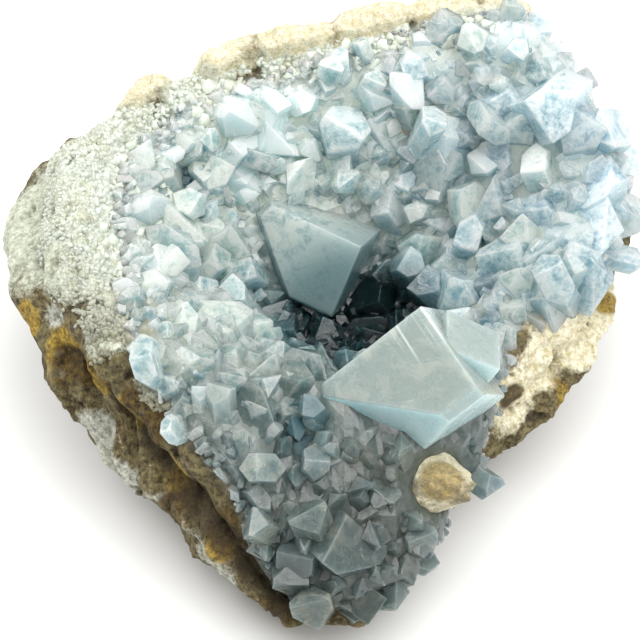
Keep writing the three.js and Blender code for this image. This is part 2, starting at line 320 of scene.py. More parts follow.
def layered_noise(points, cell, layers, seed):
    """Layers of value noise, each half as large and half as strong as the one before, from
    -1 to 1."""
    total, strength = 0, 0
    for k in range(layers):
        total = total + 0.5 ** k * (2 * value_noise(points, cell / 2 ** k, seed + k) - 1)
        strength += 0.5 ** k
    return total / strength


def grain_distance(points, cell, seed):
    """How far a point is from the nearest grain's middle, in cells: each cell of the grid holds
    one middle, moved at random within the cell."""
    base = np.floor(points / cell).astype(np.int64)
    nearest = np.full(points.shape[:-1], 9.0)
    for step in itertools.product((-1, 0, 1), repeat=3):
        there = base + step
        middle = np.stack([cell_number(there, seed + k) for k in range(3)], -1) + there
        nearest = np.minimum(nearest, np.linalg.norm(points / cell - middle, axis=-1))
    return nearest


print("noise at the origin", float(value_noise(np.zeros(3), 5, 1)))

# %% [markdown]
# ## The rind
#
# The rind is limestone that lay in clay for a long time. Water has eaten softer bands out of it,
# so ledges run round it, and iron has stained it ochre and brown. Towards the left shoulder it
# turns into a pale sugary crust of tiny grains.
#
# The same lumps, ledges and pits as in the CAD solid come first, as heights above the smooth
# stone. Finer roughness and grains are added on top of them, in millimetres.


# %% Relief of the rind
def bare_share(around, ring):
    """1 where the rind is bare, 0 under the crystals and on the flat spot."""
    past = smooth_step(-0.3, 0.6, ring - crystals_end(around))
    return past * (1 - smooth_step(6.0, 6.9, ring))


def coarse_relief(point, around, ring):
    """The relief that the CAD solid has too: lumps and pits as products of sines in space,
    ledges as a cosine of the ring that wanders with the place."""
    x, y, z = point[..., 0], point[..., 1], point[..., 2]
    lumps = (1.1 * np.sin(0.19 * x + 1.1 * np.sin(0.11 * z + 0.6)) * np.cos(0.17 * y + 0.14 * z)
             + 0.7 * np.sin(0.43 * x - 0.31 * z + 2.0) * np.sin(0.39 * y + 0.27 * z + 0.5))
    ledges = 1.5 * np.cos(7.85 * ring + 1.4 * np.sin(0.09 * x - 0.07 * y) + 0.4)
    pits = -1.6 * smooth_step(0.45, 0.8, np.sin(0.62 * x + 0.3 * z) * np.sin(0.55 * y - 0.4 * z))
    bare = bare_share(around, ring)
    wall = bare * smooth_step(3.8, 4.4, ring) * (1 - smooth_step(5.4, 6.2, ring))
    return bare * (lumps + pits) + wall * ledges


print("relief at the front corner:",
      float(coarse_relief(smooth_stone(4, 5), np.array(4.0), np.array(5.0)).round(2)), "mm")

# %% [markdown]
# The finer relief follows what happened to the stone. Where it is sugary it has round grains,
# elsewhere small sharp pits. A groove runs along the lower front, the back lip stands up bare,
# and one bare lump of rind comes through the druse in front. Each of them is a soft mask times a
# height.

# %% Fine relief of the rind
GROOVE = [(-38, -20, 35), (-31, -31, 30), (-23, -40, 26), (-15, -47, 22), (-8, -53, 17)]
GROOVE_DEPTH = 3.2  # mm
KNOB_PLACE = (21, -33.5, 25)  # the bare lump in the druse
KNOB_REACH = 8.0
KNOB_HEIGHT = 7.5
# where the back lip stands bare, and its reach, mm
RIM = [((-35, 44, 54), 9), ((-20, 50, 56), 10), ((-5, 53, 58), 10), ((10, 54, 59), 10),
       ((25, 55, 61), 10), ((36, 56, 62), 8)]
RIM_HEIGHT = 2.6


def patches(points, places):
    """Soft round masks: 1 at a place, 0 from its reach away, with one ragged edge for all of
    them. Where masks overlap, the largest counts."""
    ragged = 1 + 0.45 * layered_noise(points, 7, 3, 31)
    masks = [1 - smooth_step(0.45, 1.0, np.linalg.norm(points - place, axis=-1) / reach / ragged)
             for place, reach in places]
    return np.max(masks, axis=0)


def distance_to_path(points, path):
    """The distance from points to a chain of straight pieces, in mm."""
    nearest = np.full(points.shape[:-1], np.inf)
    for start, end in zip(np.array(path[:-1], float), np.array(path[1:], float)):
        share = np.clip((points - start) @ (end - start) / np.sum((end - start) ** 2), 0, 1)
        gap = points - start - share[..., None] * (end - start)
        nearest = np.minimum(nearest, np.linalg.norm(gap, axis=-1))
    return nearest


def knob_share(point):
    """1 on the bare lump, 0 from its reach away."""
    distance = np.linalg.norm(point - KNOB_PLACE, axis=-1)
    return 1 - smooth_step(0.2, 1.0, distance / KNOB_REACH)


def fine_relief(point, around, ring, sugar):
    """Roughness in mm: layers of noise, grains of about 1.5 mm where the rind is sugary, small
    sharp pits elsewhere, the groove, the raised back lip and the bare lump."""
    rough = 1.0 * layered_noise(point, 4.5, 4, 3) + 0.6 * layered_noise(point, 1.5, 2, 5)
    grains = 0.5 * (0.55 - grain_distance(point, 1.5, 17)) + 0.3 * layered_noise(point, 1.1, 2, 8)
    pits = -1.1 * smooth_step(0.32, 0.62, layered_noise(point, 2.6, 2, 23))
    wander = 1.5 * layered_noise(point, 6, 2, 29)
    in_groove = 1 - smooth_step(0.6, 4.0, distance_to_path(point, GROOVE) + wander)
    groove = -GROOVE_DEPTH * in_groove
    shown = smooth_step(-0.5, 0.1, ring - druse_end(around)) * (1 - smooth_step(6.4, 7.0, ring))
    lump = knob_share(point)
    shown = np.maximum(shown, lump)
    rim = RIM_HEIGHT * patches(point, RIM)
    rim = rim * smooth_step(2.9, 3.2, ring) * (1 - smooth_step(4.0, 4.7, ring))
    return (shown * (rough + sugar * grains + (1 - sugar) * pits + groove) + rim
            + KNOB_HEIGHT * lump * (1 + 0.4 * rough))


print("the groove is", round(float(distance_to_path(np.zeros(3), GROOVE)), 1),
      "mm from the origin")

# %% [markdown]
# ## Grids into meshes
#
# A surface with two parameters is worked out on a grid of them. Its rings of points are joined
# by four-sided faces, and each end closes on a single point, so that the solid has no hole. Numbers
# that a material needs later are kept with the mesh.


# %% Grids into meshes
def on_grid(arounds, rings):
    """Two matching arrays, rings down and arounds across, for a surface's two parameters."""
    return np.meshgrid(arounds, rings, indexing="xy")


def closed_skin(first_pole, grid, last_pole):
    """Vertices and faces of a closed skin: one point, rings of points, one point. Each ring is
    joined to the next by quads, and each pole to its ring by triangles."""
    rings, count = grid.shape[:2]
    vertices = np.concatenate([[first_pole], grid.reshape(-1, 3), [last_pole]])
    i = np.arange(count)
    after = (i + 1) % count
    upper = 1 + count * np.arange(rings - 1)[:, None]
    quads = np.stack([upper + i, upper + count + i, upper + count + after, upper + after], -1)
    start = np.stack([np.zeros(count, int), 1 + i, 1 + after], 1)
    last = 1 + count * (rings - 1)
    end = np.stack([np.full(count, len(vertices) - 1), last + after, last + i], 1)
    return vertices, [*start.tolist(), *quads.reshape(-1, 4).tolist(), *end.tolist()]


def mesh_of(name, vertices, faces):
    """A mesh from points in mm; its own units are metres."""
    mesh = bpy.data.meshes.new(name)
    mesh.from_pydata((np.asarray(vertices) * MM).tolist(), [], faces)
    mesh.update()
    return mesh


def show(name, mesh, *materials):
    """An object at the origin, unturned, for a mesh whose place is in its points."""
    piece = bpy.data.objects.new(name, mesh)
    bpy.context.scene.collection.objects.link(piece)
    mesh.materials.clear()
    for material in materials:
        mesh.materials.append(material)
    return piece


def triangles(mesh):
    """How many triangles a mesh's faces are cut into."""
    mesh.calc_loop_triangles()
    return len(mesh.loop_triangles)


def store(mesh, name, values, kind="FLOAT", domain="POINT"):
    """Keeps one number or vector for each point, face or corner of a mesh."""
    kept = mesh.attributes.new(name, kind, domain)
    values = np.asarray(values, np.float32)
    kept.data.foreach_set("vector" if kind == "FLOAT_VECTOR" else "value", values.ravel())


square, _ = on_grid(np.arange(3), np.arange(2))
print("a grid of 3 places on 2 rings has", square.size, "points")

# %% [markdown]
# ## Where the druse changes
#
# A crust of crystals is called a druse. Its crystals change from place to place: small and white
# along the lip, blocks of 8 mm and more on the right, clear and grey down the front slope. A
# list of places holds what the druse is like there, and any point takes a blend of the places
# near it. The rind reads the list too, because its stone is darker under the grey druse.

# %% What the druse is like where
# plan place x, y (mm): crystal width (mm), cloudiness and greyness (both from 0 to 1)
REGIONS = [
    (-42, 34, 3.6, 0.9, 0.0), (-18, 50, 3.2, 0.9, 0.0), (20, 54, 3.2, 0.9, 0.0),
    (46, 54, 4.6, 0.8, 0.0), (-24, 36, 5.6, 0.95, 0.0), (0, 37, 6.5, 0.85, 0.0),
    (26, 40, 7.5, 0.6, 0.05), (-30, 22, 9.0, 0.6, 0.0), (-42, 12, 6.5, 0.85, 0.0),
    (28, 24, 9.0, 0.45, 0.0), (30, 8, 9.0, 0.45, 0.0),
    (-26, 4, 9.5, 0.6, 0.0), (-31, -12, 6.0, 0.65, 0.1), (50, 34, 9.5, 0.6, 0.0),
    (46, 15, 9.5, 0.5, 0.0), (38, 0, 8.5, 0.45, 0.1), (6, 14, 6.5, 0.3, 0.2),
    (12, 2, 6.0, 0.3, 0.2), (-9, -14, 8.5, 0.6, 0.1), (-33, -26, 8.0, 0.7, 0.35),
    (-14, -28, 7.0, 0.4, 0.6), (-3, -28, 8.0, 0.45, 0.5),
    (6, -34, 8.0, 0.2, 1.0), (5, -50, 7.5, 0.2, 1.0), (24, -32, 5.5, 0.3, 0.8),
]
REGION_REACH = 9.0  # mm
# where iron has browned the crystals: place and reach, mm
STAINED = [((19, 37, 47), 7)]
# small hollows in the druse, where crystals sink deeper and are clearer, painted a deeper teal as
# shade: place and reach, mm
DEEP = [((-27, 29, 42), 6), ((21, 33, 42), 7), ((29, 20, 36), 6),
        ((-31, 20, 44), 4), ((-4, -30, 36), 6)]


def druse_at(points):
    """Width, cloudiness and greyness of the druse at points: the places' values, weighted by
    exp(-distance² / (2 reach²)) in plan."""
    table = np.array(REGIONS, float)
    distance = np.linalg.norm(points[..., None, :2] - table[:, :2], axis=-1)
    weight = np.exp(-(distance / REGION_REACH) ** 2 / 2) + 1e-9
    return (weight @ table[:, 2:]) / weight.sum(-1, keepdims=True)


print("the druse in the pit:", druse_at(np.array([8.0, 8.0])).round(2))

# %% [markdown]
# ## Colours of the rind
#
# The stains follow water, not geometry: an ochre patch below the left shoulder, a grey one in
# front of it, a dark brown groove along the lower front, cream along the back lip. Each is a
# soft mask around a place on the stone, kept with the mesh as a number for each point. The
# material mixes its colours by these numbers.

# %% Where the stains are
# place on the stone and reach of each stain, mm
OCHRE = [((-46, -10, 35), 8), ((-40, -17, 36), 6), ((-34, -25, 33), 6), ((-27, -35, 28), 6),
         ((-18, -46, 22), 4), ((-54, -2, 35), 5), ((45, -9, 20), 5), ((40, 45, 40), 14),
         ((-30, 50, 36), 16), ((22, -37, 29), 5), ((-45, -4, 41), 5), ((-38, -12, 43), 4),
         ((55, 9, 27), 4), ((-35, -25, 36), 4)]
BROWN = [((-45, -11, 32), 7), ((-31, -29, 37), 5), ((-34, -25, 38), 4), ((-43, -13, 33), 5),
         ((-36, -23, 33), 4), ((-31, -30, 31), 5), ((-24, -38, 27), 5), ((-17, -44, 25), 5),
         ((-12, -49, 21), 5), ((-6, -54, 16), 5), ((-30, -36, 20), 3), ((41, -13, 16), 5),
         ((36, -15, 27), 4), ((52, 20, 26), 9), ((0, 56, 40), 12), ((-33, -26, 35), 4),
         ((-26, -37, 21), 6)]
GREY = [((-42, -22, 25), 6), ((-37, -29, 19), 7), ((-29, -38, 19), 8), ((-20, -46, 15), 8),
        ((-48, -4, 38), 5)]
CREAM = [*RIM, ((50, -1, 29), 11), ((43, -8, 30), 10), ((36, -15, 27), 8), ((22, -33, 26), 9),
         ((56, 8, 28), 9), ((-30, 50, 50), 9)]
SUGAR = [((-50, 16, 44), 22), ((-45, 2, 46), 12), ((-36, -13, 45), 10), ((-44, 34, 50), 16),
         ((-29, -22, 43), 7), ((-53, 14, 34), 13), ((-25, 44, 53), 12), ((-5, 49, 56), 9),
         ((12, 51, 58), 8), ((27, 53, 60), 8)]
print(len(OCHRE + BROWN + GREY + CREAM + SUGAR), "stains on the rind")

# %% [markdown]
# ## The rind's mesh
#
# The rind is one closed skin on the stone's two parameters. The grid is fine where the rind
# shows and coarse inside the hollow, which the crust covers.

# %% The rind's mesh
RIND_AROUND = 560
RIND_RINGS = np.concatenate([
    np.linspace(0.4, 2.2, 8), np.linspace(2.3, 6.4, 140), np.linspace(6.45, 7, 10), [7.5]])


def make_rind():
    """The rind's mesh: each point of the smooth stone, raised along the normal by the coarse
    and the fine relief. The relief that is kept is 0.5 plus 0.4 for each mm of the fine one."""
    arounds = np.arange(RIND_AROUND) * len(STATIONS) / RIND_AROUND
    around, ring = on_grid(arounds, RIND_RINGS)
    point, normal = smooth_stone(around, ring), stone_normal(around, ring)
    sugar = patches(point, SUGAR)
    grey = druse_at(point)[..., 2]
    coarse = coarse_relief(point, around, ring)
    height = coarse + fine_relief(point, around, ring, sugar)
    # the fine relief, which the limestone reads for the painted shade in its pits
    relief = np.clip(0.5 + 0.4 * (height - coarse), 0, 1)
    foot = (ring >= RING_FOOT)[..., None]
    surface = np.where(foot, point, point + normal * height[..., None])
    surface[..., 2] = np.maximum(surface[..., 2], 0)
    pole, centre = smooth_stone(0, 0), smooth_stone(0, RING_LAST)
    mesh = mesh_of("limestone_rind", *closed_skin(pole, surface, centre))
    places = np.concatenate([[pole], surface.reshape(-1, 3), [centre]])
    for name, spots in (("ochre", OCHRE), ("brown", BROWN), ("grey", GREY), ("cream", CREAM),
                        ("sugar", SUGAR)):
        store(mesh, name, patches(places, spots))
    store(mesh, "relief", np.concatenate([[0], relief.ravel(), [0]]))
    store(mesh, "grey_root", np.concatenate([[0], grey.ravel(), [0]]))
    covered = 1 - smooth_step(-0.25, 0.15, ring - druse_end(around))
    covered = covered * (1 - smooth_step(0, 0.3, knob_share(point)))
    store(mesh, "covered", np.concatenate([[1], covered.ravel(), [0]]))
    return mesh


rind_mesh = make_rind()
print("rind:", triangles(rind_mesh), "triangles")

# %% [markdown]
# ## One crystal
#
# Celestite is orthorhombic: its cell is a box with three different edges, and a crystal's faces
# lie where these edges put them. A face with the indices h, k, l has its normal along
# (h / a, k / b, l / c). Blocky celestite shows two flat faces, a belt of four prism faces and a
# chisel tip of two faces, sometimes with two small ones that cut into it.
#
# A crystal is the space inside all of its planes, so its corners are the points where three
# planes meet and no other plane cuts them off.

# %% Crystal geometry
CELL = {"a": 8.36, "b": 5.35, "c": 6.87}  # angstroms
ROOT_SHARE = 0.3  # how far a crystal reaches below its root, as a share of its length


def crystal_planes(size, lean=0, point=0):
    """The planes as rows of normal and distance. size is (length, width, thickness) in mm;
    length runs along z, width along x, thickness along y. lean moves the chisel's ridge
    sideways, and point sets how far two small faces cut into the tip."""
    length, width, thickness = size
    rows = []

    def add(h, k, l, through):
        """The face h, k, l through a point; a runs along z here, b along x and c along y."""
        normal = unit(np.array([k / CELL["b"], l / CELL["c"], h / CELL["a"]]))
        rows.append([*normal, normal @ np.array(through)])

    for side in (1, -1):
        add(0, 0, side, (0, side * thickness / 2, 0))
        for other in (1, -1):
            add(0, side, other, (side * width / 2, 0, 0))
        add(2, side, 0, (lean * width, 0, length))
        if point:
            add(1, 0, side, (0, 0, length * point))
    add(-1, 0, 0, (0, 0, -ROOT_SHARE * length))
    return np.array(rows)


def convex_solid(planes):
    """Corners and faces of the space inside the planes. Each three planes are solved for their
    meeting point, points outside any plane are dropped, and a convex hull around the rest gives
    the faces. Its triangles are joined where they lie in one plane."""
    triples = np.array(list(itertools.combinations(range(len(planes)), 3)))
    normals, distances = planes[triples][..., :3], planes[triples][..., 3]
    meeting = np.abs(np.linalg.det(normals)) > 1e-3
    corners = np.linalg.solve(normals[meeting], distances[meeting][..., None])[..., 0]
    inside = (corners @ planes[:, :3].T <= planes[:, 3] + 1e-4).all(1)
    hull = bmesh.new()
    for corner in np.unique(corners[inside].round(4), axis=0):
        hull.verts.new(corner)
    bmesh.ops.remove_doubles(hull, verts=hull.verts, dist=0.02)
    bmesh.ops.convex_hull(hull, input=hull.verts)
    bmesh.ops.dissolve_limit(hull, angle_limit=math.radians(1), verts=hull.verts,
                             edges=hull.edges)
    bmesh.ops.recalc_face_normals(hull, faces=hull.faces)
    hull.verts.index_update()
    corners = np.array([vertex.co for vertex in hull.verts])
    faces = [[vertex.index for vertex in face.verts] for face in hull.faces]
    open_edges = sum(not edge.is_manifold for edge in hull.edges)
    hull.free()
    assert not open_edges, "a crystal isn't closed"
    return corners, faces


def turn_to(tip, degrees):
    """The rotation that spins a crystal about z and then swings z onto tip the short way."""
    tip = unit(np.asarray(tip, float))
    axis = np.cross([0, 0, 1], tip)
    k = np.array([[0, -axis[2], axis[1]], [axis[2], 0, -axis[0]], [-axis[1], axis[0], 0]])
    swing = np.eye(3) + k + k @ k / (1 + tip[2]) if tip[2] > -0.9999 else np.diag([1, -1, -1])
    c, s = math.cos(math.radians(degrees)), math.sin(math.radians(degrees))
    return swing @ np.array([[c, -s, 0], [s, c, 0], [0, 0, 1]])


def compass_tip(compass, rise):
    """The unit vector in a compass direction a that rises by an angle e, both in degrees:
    (cos a cos e, sin a cos e, sin e)."""
    a, e = math.radians(compass), math.radians(rise)
    return np.array([math.cos(a) * math.cos(e), math.sin(a) * math.cos(e), math.sin(e)])


corners, faces = convex_solid(crystal_planes((10, 8, 6)))
print("a plain crystal has", len(corners), "corners and", len(faces), "faces")

# %% [markdown]
# ## The large crystals
#
# The crystals that one would recognise the piece by are set one by one: the great block on the
# front lip, the wedge that hangs over the pit behind it, and those around them. Each has the
# middle of its root, the compass direction and the rise of its long axis, its spin about that
# axis, and its length, width and thickness in mm. They repeat the CAD's own values.
#
# The block and the wedge are then set once more, because there the eye reads each single face:
# the block shows a broad milky top and two facets under it, the wedge one broad face with a
# narrow one above. A twin has grown against the block's right side. These three broad crystals
# stand in place of the first two of the list.

# %% The large crystals
# at, tip (compass, rise), turn, size (length, width, thickness), lean, point, cloudiness
LARGE_CRYSTALS = [
    ((22, -17, 33), (-145, 10), 150, (26, 26, 21), 0.1, 0.93, 0.9),
    ((-3, 23, 27), (-45, 22), 65, (20, 22, 18.5), 0.1, 0.93, 0.5),
    ((15, 18, 18), (-135, 32), 95, (12, 11.5, 9), -0.05, 0, 0.3),
    ((28, 11, 28), (-136, 37), 145, (9, 12, 7), -0.1, 0, 0.4),
    ((18, 16, 26), (-155, 74), 330, (7.5, 8.5, 6), 0, 0, 0.4),
    ((36, 27, 35), (-164, 35), 125, (8, 13, 12), -0.2, 0, 0.5),
    ((25, 35, 40), (-89, 36), 335, (8, 7, 6), 0.05, 0, 0.4),
    ((33, 32, 42), (-119, 53), 40, (6, 8, 5.5), -0.2, 0, 0.97),
    ((18, 38, 38), (-49, 68), 80, (18, 9, 5), -0.2, 0, 0.8),
    ((33, 45, 46), (-105, 30), 175, (5.5, 7.5, 5), -0.15, 0, 0.4),
    ((-11, 33, 42), (-116, 41), 150, (6.5, 8, 3.5), 0.15, 0, 0.4),
    ((-15, 31, 33), (-31, 42), 150, (6.5, 8.5, 5.5), 0.1, 0, 0.4),
    ((44, 38, 51), (-117, 18), 20, (11, 20, 10), 0.15, 0, 0.7),
    ((55, 32, 49), (-67, 60), 25, (8, 11, 8), -0.2, 0, 0.75),
    ((52, 21, 43), (146, 87), 180, (8, 13.5, 12), -0.25, 0, 0.7),
    ((-35, 28, 42), (-59, 18), 140, (8, 10, 5.5), 0.15, 0, 0.6),
    ((-16, 17, 28), (-88, 62), 140, (5.5, 8, 6), 0, 0, 0.4),
    ((-13, 8, 21), (-172, 72), 135, (14, 6, 4.5), 0.2, 0, 0.7),
    ((-5, -13, 28), (103, 41), 120, (7, 11.5, 11), 0, 0, 0.5),
    ((-11, -29, 35), (-92, 87), 60, (8, 5.5, 4.5), -0.15, 0, 0.4),
    ((-10, -38, 34), (-95, 56), 0, (7, 8.5, 5), -0.1, 0, 0.4),
    ((12, -37, 26), (-97, 60), 50, (7, 7, 6), -0.2, 0, 0.4),
    ((-1, -46, 27), (-142, 75), 115, (7.5, 8, 7.5), -0.05, 0, 0.4),
    ((17, -42, 19), (-64, 49), 115, (6, 7.5, 6), 0.05, 0, 0.4),
    ((7, -46, 18), (-82, 73), 5, (8.5, 8.5, 6), 0, 0, 0.4),
    ((12, -48, 11), (-82, 54), 0, (7, 8, 7), 0.15, 0, 0.4),
    ((-1, -55, 16), (-101, 55), 100, (6.5, 8.5, 7.5), 0.05, 0, 0.4),
]
BLOCK = ((21.3, -20.5, 40.6), (-157, -33), 47, (20.9, 25.7, 29.5), 0.3, 0.954, 1.0)
TWIN = ((26.3, -17.9, 43.6), (-161, -54), 83, (9.8, 14.9, 23.9), 0.19, 0, 1.0)
WEDGE = ((1.9, 20, 27.9), (154, 8), 143, (21, 18.9, 23), 0.05, 0.808, 0.5)
BROAD_CRYSTALS = [BLOCK, TWIN, WEDGE]
SINGLE_CRYSTALS = [*BROAD_CRYSTALS, *LARGE_CRYSTALS[2:]]
print(len(LARGE_CRYSTALS), "large crystals in the CAD solid,", len(SINGLE_CRYSTALS), "here")

# %% [markdown]
# ## The medium crystals
#
# Next come the crystals of 5 to 9 mm that the CAD solid strews over the crust by a seeded draw.
# The same draw is repeated here number by number, so that each of them stands exactly where it
# does in the CAD solid. A draw is a whole number that is multiplied, added to and cut to 32 bits
# each time. Those beyond the finished druse's end are left out here, and those in a broad crystal
# or on the bare lump when the crust is put together.

# %% The medium crystals
MEDIUM = {"seed": 11, "tries": 3000, "most": 66, "spacing": 8, "length": (5, 9), "width": (5, 8.5)}


def stone_place(around, ring):
    """A point of the stone with its coarse relief, and the smooth stone's normal there."""
    around, ring = np.asarray(around, float), np.asarray(ring, float)
    point, normal = smooth_stone(around, ring), stone_normal(around, ring)
    return point + normal * coarse_relief(point, around, ring)[..., None], normal


def draw_from(seed):
    """Numbers from 0 to 1: state becomes 1664525 * state + 1013904223, cut to 32 bits."""
    state = seed
    while True:
        state = (state * 1664525 + 1013904223) & 0xFFFFFFFF
        yield state / 2 ** 32


def medium_crystals():
    """The medium crystals, in the form of the large ones, less those beyond the druse's end."""
    draw = draw_from(MEDIUM["seed"]).__next__

    def within(low, high):
        """A drawn number between low and high."""
        return low + (high - low) * draw()

    roots = [(np.array(crystal[0], float), crystal[3][1]) for crystal in LARGE_CRYSTALS]
    most = len(roots) + MEDIUM["most"]
    found = []
    for _ in range(MEDIUM["tries"]):
        if len(roots) == most:
            break
        around = draw() * len(STATIONS)
        ring = math.sqrt(draw()) * float(crystals_end(np.array(around))) * 0.985
        tilt = 1.1 * np.array([draw() - 0.5, draw() - 0.5, draw() - 0.5])
        length, width = within(*MEDIUM["length"]), within(*MEDIUM["width"])
        thickness = width * (0.6 + 0.35 * draw())
        turn = 360 * draw()
        lean = 0.3 * (draw() - 0.5)
        point, normal = stone_place(around, ring)
        root = point + 0.8 * normal
        if any(np.linalg.norm(other - root) < 0.5 * (MEDIUM["spacing"] + 0.9 * wide)
               for other, wide in roots):
            continue
        roots.append((root, width))
        if ring < druse_end(around):
            found.append((root, unit(normal + tilt), turn, (length, width, thickness), lean, 0,
                          None))
    return found


medium = medium_crystals()
print(len(medium), "medium crystals, the last at", medium[-1][0].round(1))

# %% [markdown]
# ## Strewing the druse
#
# The roots are spread by throwing darts: a dart stays if no earlier root is nearer than the two
# crystals' widths allow. That keeps an even but irregular spacing, which a grid can't give. The
# darts fall evenly over the stone's area, and not over its two parameters, which would crowd
# them in the hollow.

# %% Strewn crystals
def places_by_area(count, first_ring, last_ring, rng):
    """Random places, spread evenly over the stone's area. Cells of a grid in (around, ring) are
    picked by their area and a point is taken within the cell. The rings go from first_ring to
    last_ring, which are functions of around."""
    columns, rows = 340, 60
    around = np.arange(columns) * len(STATIONS) / columns
    share = np.linspace(0, 1, rows + 1)[:, None]
    low, high = first_ring(around), last_ring(around)
    grid = smooth_stone(np.broadcast_to(around, (rows + 1, columns)), low + (high - low) * share)
    down, across = np.diff(grid, axis=0), np.roll(grid, -1, 1) - grid
    area = np.linalg.norm(np.cross(down, across[:-1]), axis=-1)
    chance = area.ravel() / area.sum()
    cell = rng.choice(chance.size, count, p=chance)
    row, column = np.divmod(cell, columns)
    places = (column + rng.random(count)) * len(STATIONS) / columns
    share = (row + rng.random(count)) / rows
    low, high = first_ring(places), last_ring(places)
    return places, low + (high - low) * share


places, _ = places_by_area(1000, np.zeros_like, druse_end, np.random.default_rng(1))
print("of 1000 darts,", int((places < 8.5).sum()), "fall on the first half of the cuts")

# %% [markdown]
# A crystal that grew first keeps its room. Roots are taken in turn, and one that is too near to
# an earlier one is dropped. One that stands inside a broad crystal or on the bare lump is
# dropped too, because it would break through a face that is smooth on the real stone.


# %% Room between crystals
def spread_out(roots, radii, kept_roots, kept_radii, closeness):
    """Which roots stay: each in turn, if its distance to every earlier one is at least
    closeness times the sum of both radii."""
    places = np.concatenate([kept_roots, roots])
    reach = np.concatenate([kept_radii, radii])
    taken = np.zeros(len(places), bool)
    taken[:len(kept_roots)] = True
    for i in range(len(kept_roots), len(places)):
        distance = np.linalg.norm(places[taken] - places[i], axis=1)
        taken[i] = (distance >= closeness * (reach[taken] + reach[i])).all()
    return np.flatnonzero(taken[len(kept_roots):])


def within_crystal(crystal, point, tip, length, gap):
    """Whether other crystals' roots, middles or tips lie inside a single crystal that is grown by
    a gap in mm: each of them is turned into the single crystal's own axes and held against its
    planes."""
    at, direction, turn, size, lean, cut, _ = crystal
    planes = crystal_planes(size, lean, cut)
    axes = turn_to(compass_tip(*direction), turn)
    inside = np.zeros(len(point), bool)
    for share in (0, 0.5, 1):
        own = (point + share * length[:, None] * tip - at) @ axes
        inside |= (own @ planes[:, :3].T < planes[:, 3] + gap).all(1)
    return inside


def in_the_way(root, tip, length):
    """Whether a medium crystal stands within 2 mm of a broad crystal or on the bare lump."""
    on_lump = np.linalg.norm(root - KNOB_PLACE) < KNOB_REACH
    return on_lump or any(
        within_crystal(crystal, root[None], tip[None], np.array([length]), 2.0)[0]
        for crystal in BROAD_CRYSTALS)


up = np.array([0.0, 0.0, 1.0])
print(sum(in_the_way(np.asarray(crystal[0], float), up, 1.0) for crystal in medium),
      "medium crystals have their root in a broad crystal or on the bare lump")

# %% [markdown]
# The strewn crystals come in two sizes. Blocks stand between the large and the medium crystals,
# and fillers, which are half as wide, stand between the blocks. Both lean at random, and both
# sink deeper where the druse has a hollow.


# %% Strewing
def strew(seed, tries, widths, tilt, kept, closeness, sink, last_ring):
    """Roots, tips, turns and widths of strewn crystals. widths turns the druse's own width and
    a random number into a crystal's width, kept holds the roots and widths already there, and
    sink is how deep a root lies in the layer, as a share of the width."""
    rng = np.random.default_rng(seed)
    around, ring = places_by_area(tries, np.zeros_like, last_ring, rng)
    point, normal = stone_place(around, ring)
    width = widths(druse_at(point)[:, 0], rng.random(tries))
    tip = unit(normal + tilt * (rng.random((tries, 3)) - 0.5) * 2)
    turn = 360 * rng.random(tries)
    width *= 0.5 + 0.5 * smooth_step(0, 0.6, druse_end(around) - ring)
    width[np.linalg.norm(point - KNOB_PLACE, axis=1) < 1.05 * KNOB_REACH] = 0
    for crystal in BROAD_CRYSTALS:
        width[within_crystal(crystal, point, tip, width, 0.3 * width[:, None])] = 0
    stay = spread_out(point, width / 2, kept[0], kept[1] / 2, closeness)
    stay = stay[width[stay] > 0]
    sunk = 0.6 - sink * width[stay] - 2.5 * patches(point[stay], DEEP)
    sunk -= 0.12 * width[stay] * druse_at(point[stay])[:, 2]
    return point[stay] + sunk[:, None] * normal[stay], tip[stay], turn[stay], width[stay]


def joined(*groups):
    """Roots and widths of several groups of crystals, one after the other."""
    return np.concatenate([g[0] for g in groups]), np.concatenate([g[-1] for g in groups])


def block_width(wide, chance):
    """1.2 to 2.1 times the druse's width, and 12 mm at most."""
    return np.minimum(wide * (1.2 + 0.9 * chance ** 2), 12)


def filler_width(wide, chance):
    """Half the druse's width, within limits. Where the druse is coarse few fillers are left."""
    width = np.clip(0.5 * wide, 1.5, 3.4) * (0.6 + 0.7 * chance)
    return np.where(chance < smooth_step(6.0, 8.5, wide) * 0.75, 0, width)


def druse():
    """The blocks, then the fillers between them. Each size keeps off what stands already."""
    placed = SINGLE_CRYSTALS + medium
    roots = np.array([crystal[0] for crystal in placed], float)
    widths = np.array([crystal[3][1] for crystal in placed], float)
    blocks = strew(seed=21, tries=12000, widths=block_width, tilt=0.8,
                   kept=(roots, 0.7 * widths), closeness=0.45, sink=0.38,
                   last_ring=lambda around: druse_end(around) * 0.985)
    roots, widths = joined((roots, widths), blocks)
    fillers = strew(seed=22, tries=14000, widths=filler_width, tilt=0.9,
                    kept=(roots, 0.15 * widths), closeness=0.5, sink=-0.4,
                    last_ring=lambda around: druse_end(around) + 0.03)
    return blocks, fillers


blocks, fillers = druse()
print(len(blocks[0]), "blocks and", len(fillers[0]), "fillers")

# %% [markdown]
# ## Small crystals
#
# Small crystals don't need to be worked out one by one. A few dozen different shapes are enough
# for the eye, because each is turned and scaled in its own way. Their edges are cut by narrow
# chamfers: on a real crystal the edges catch the light as thin bright lines, and a chamfer is a
# flat strip that can do the same.


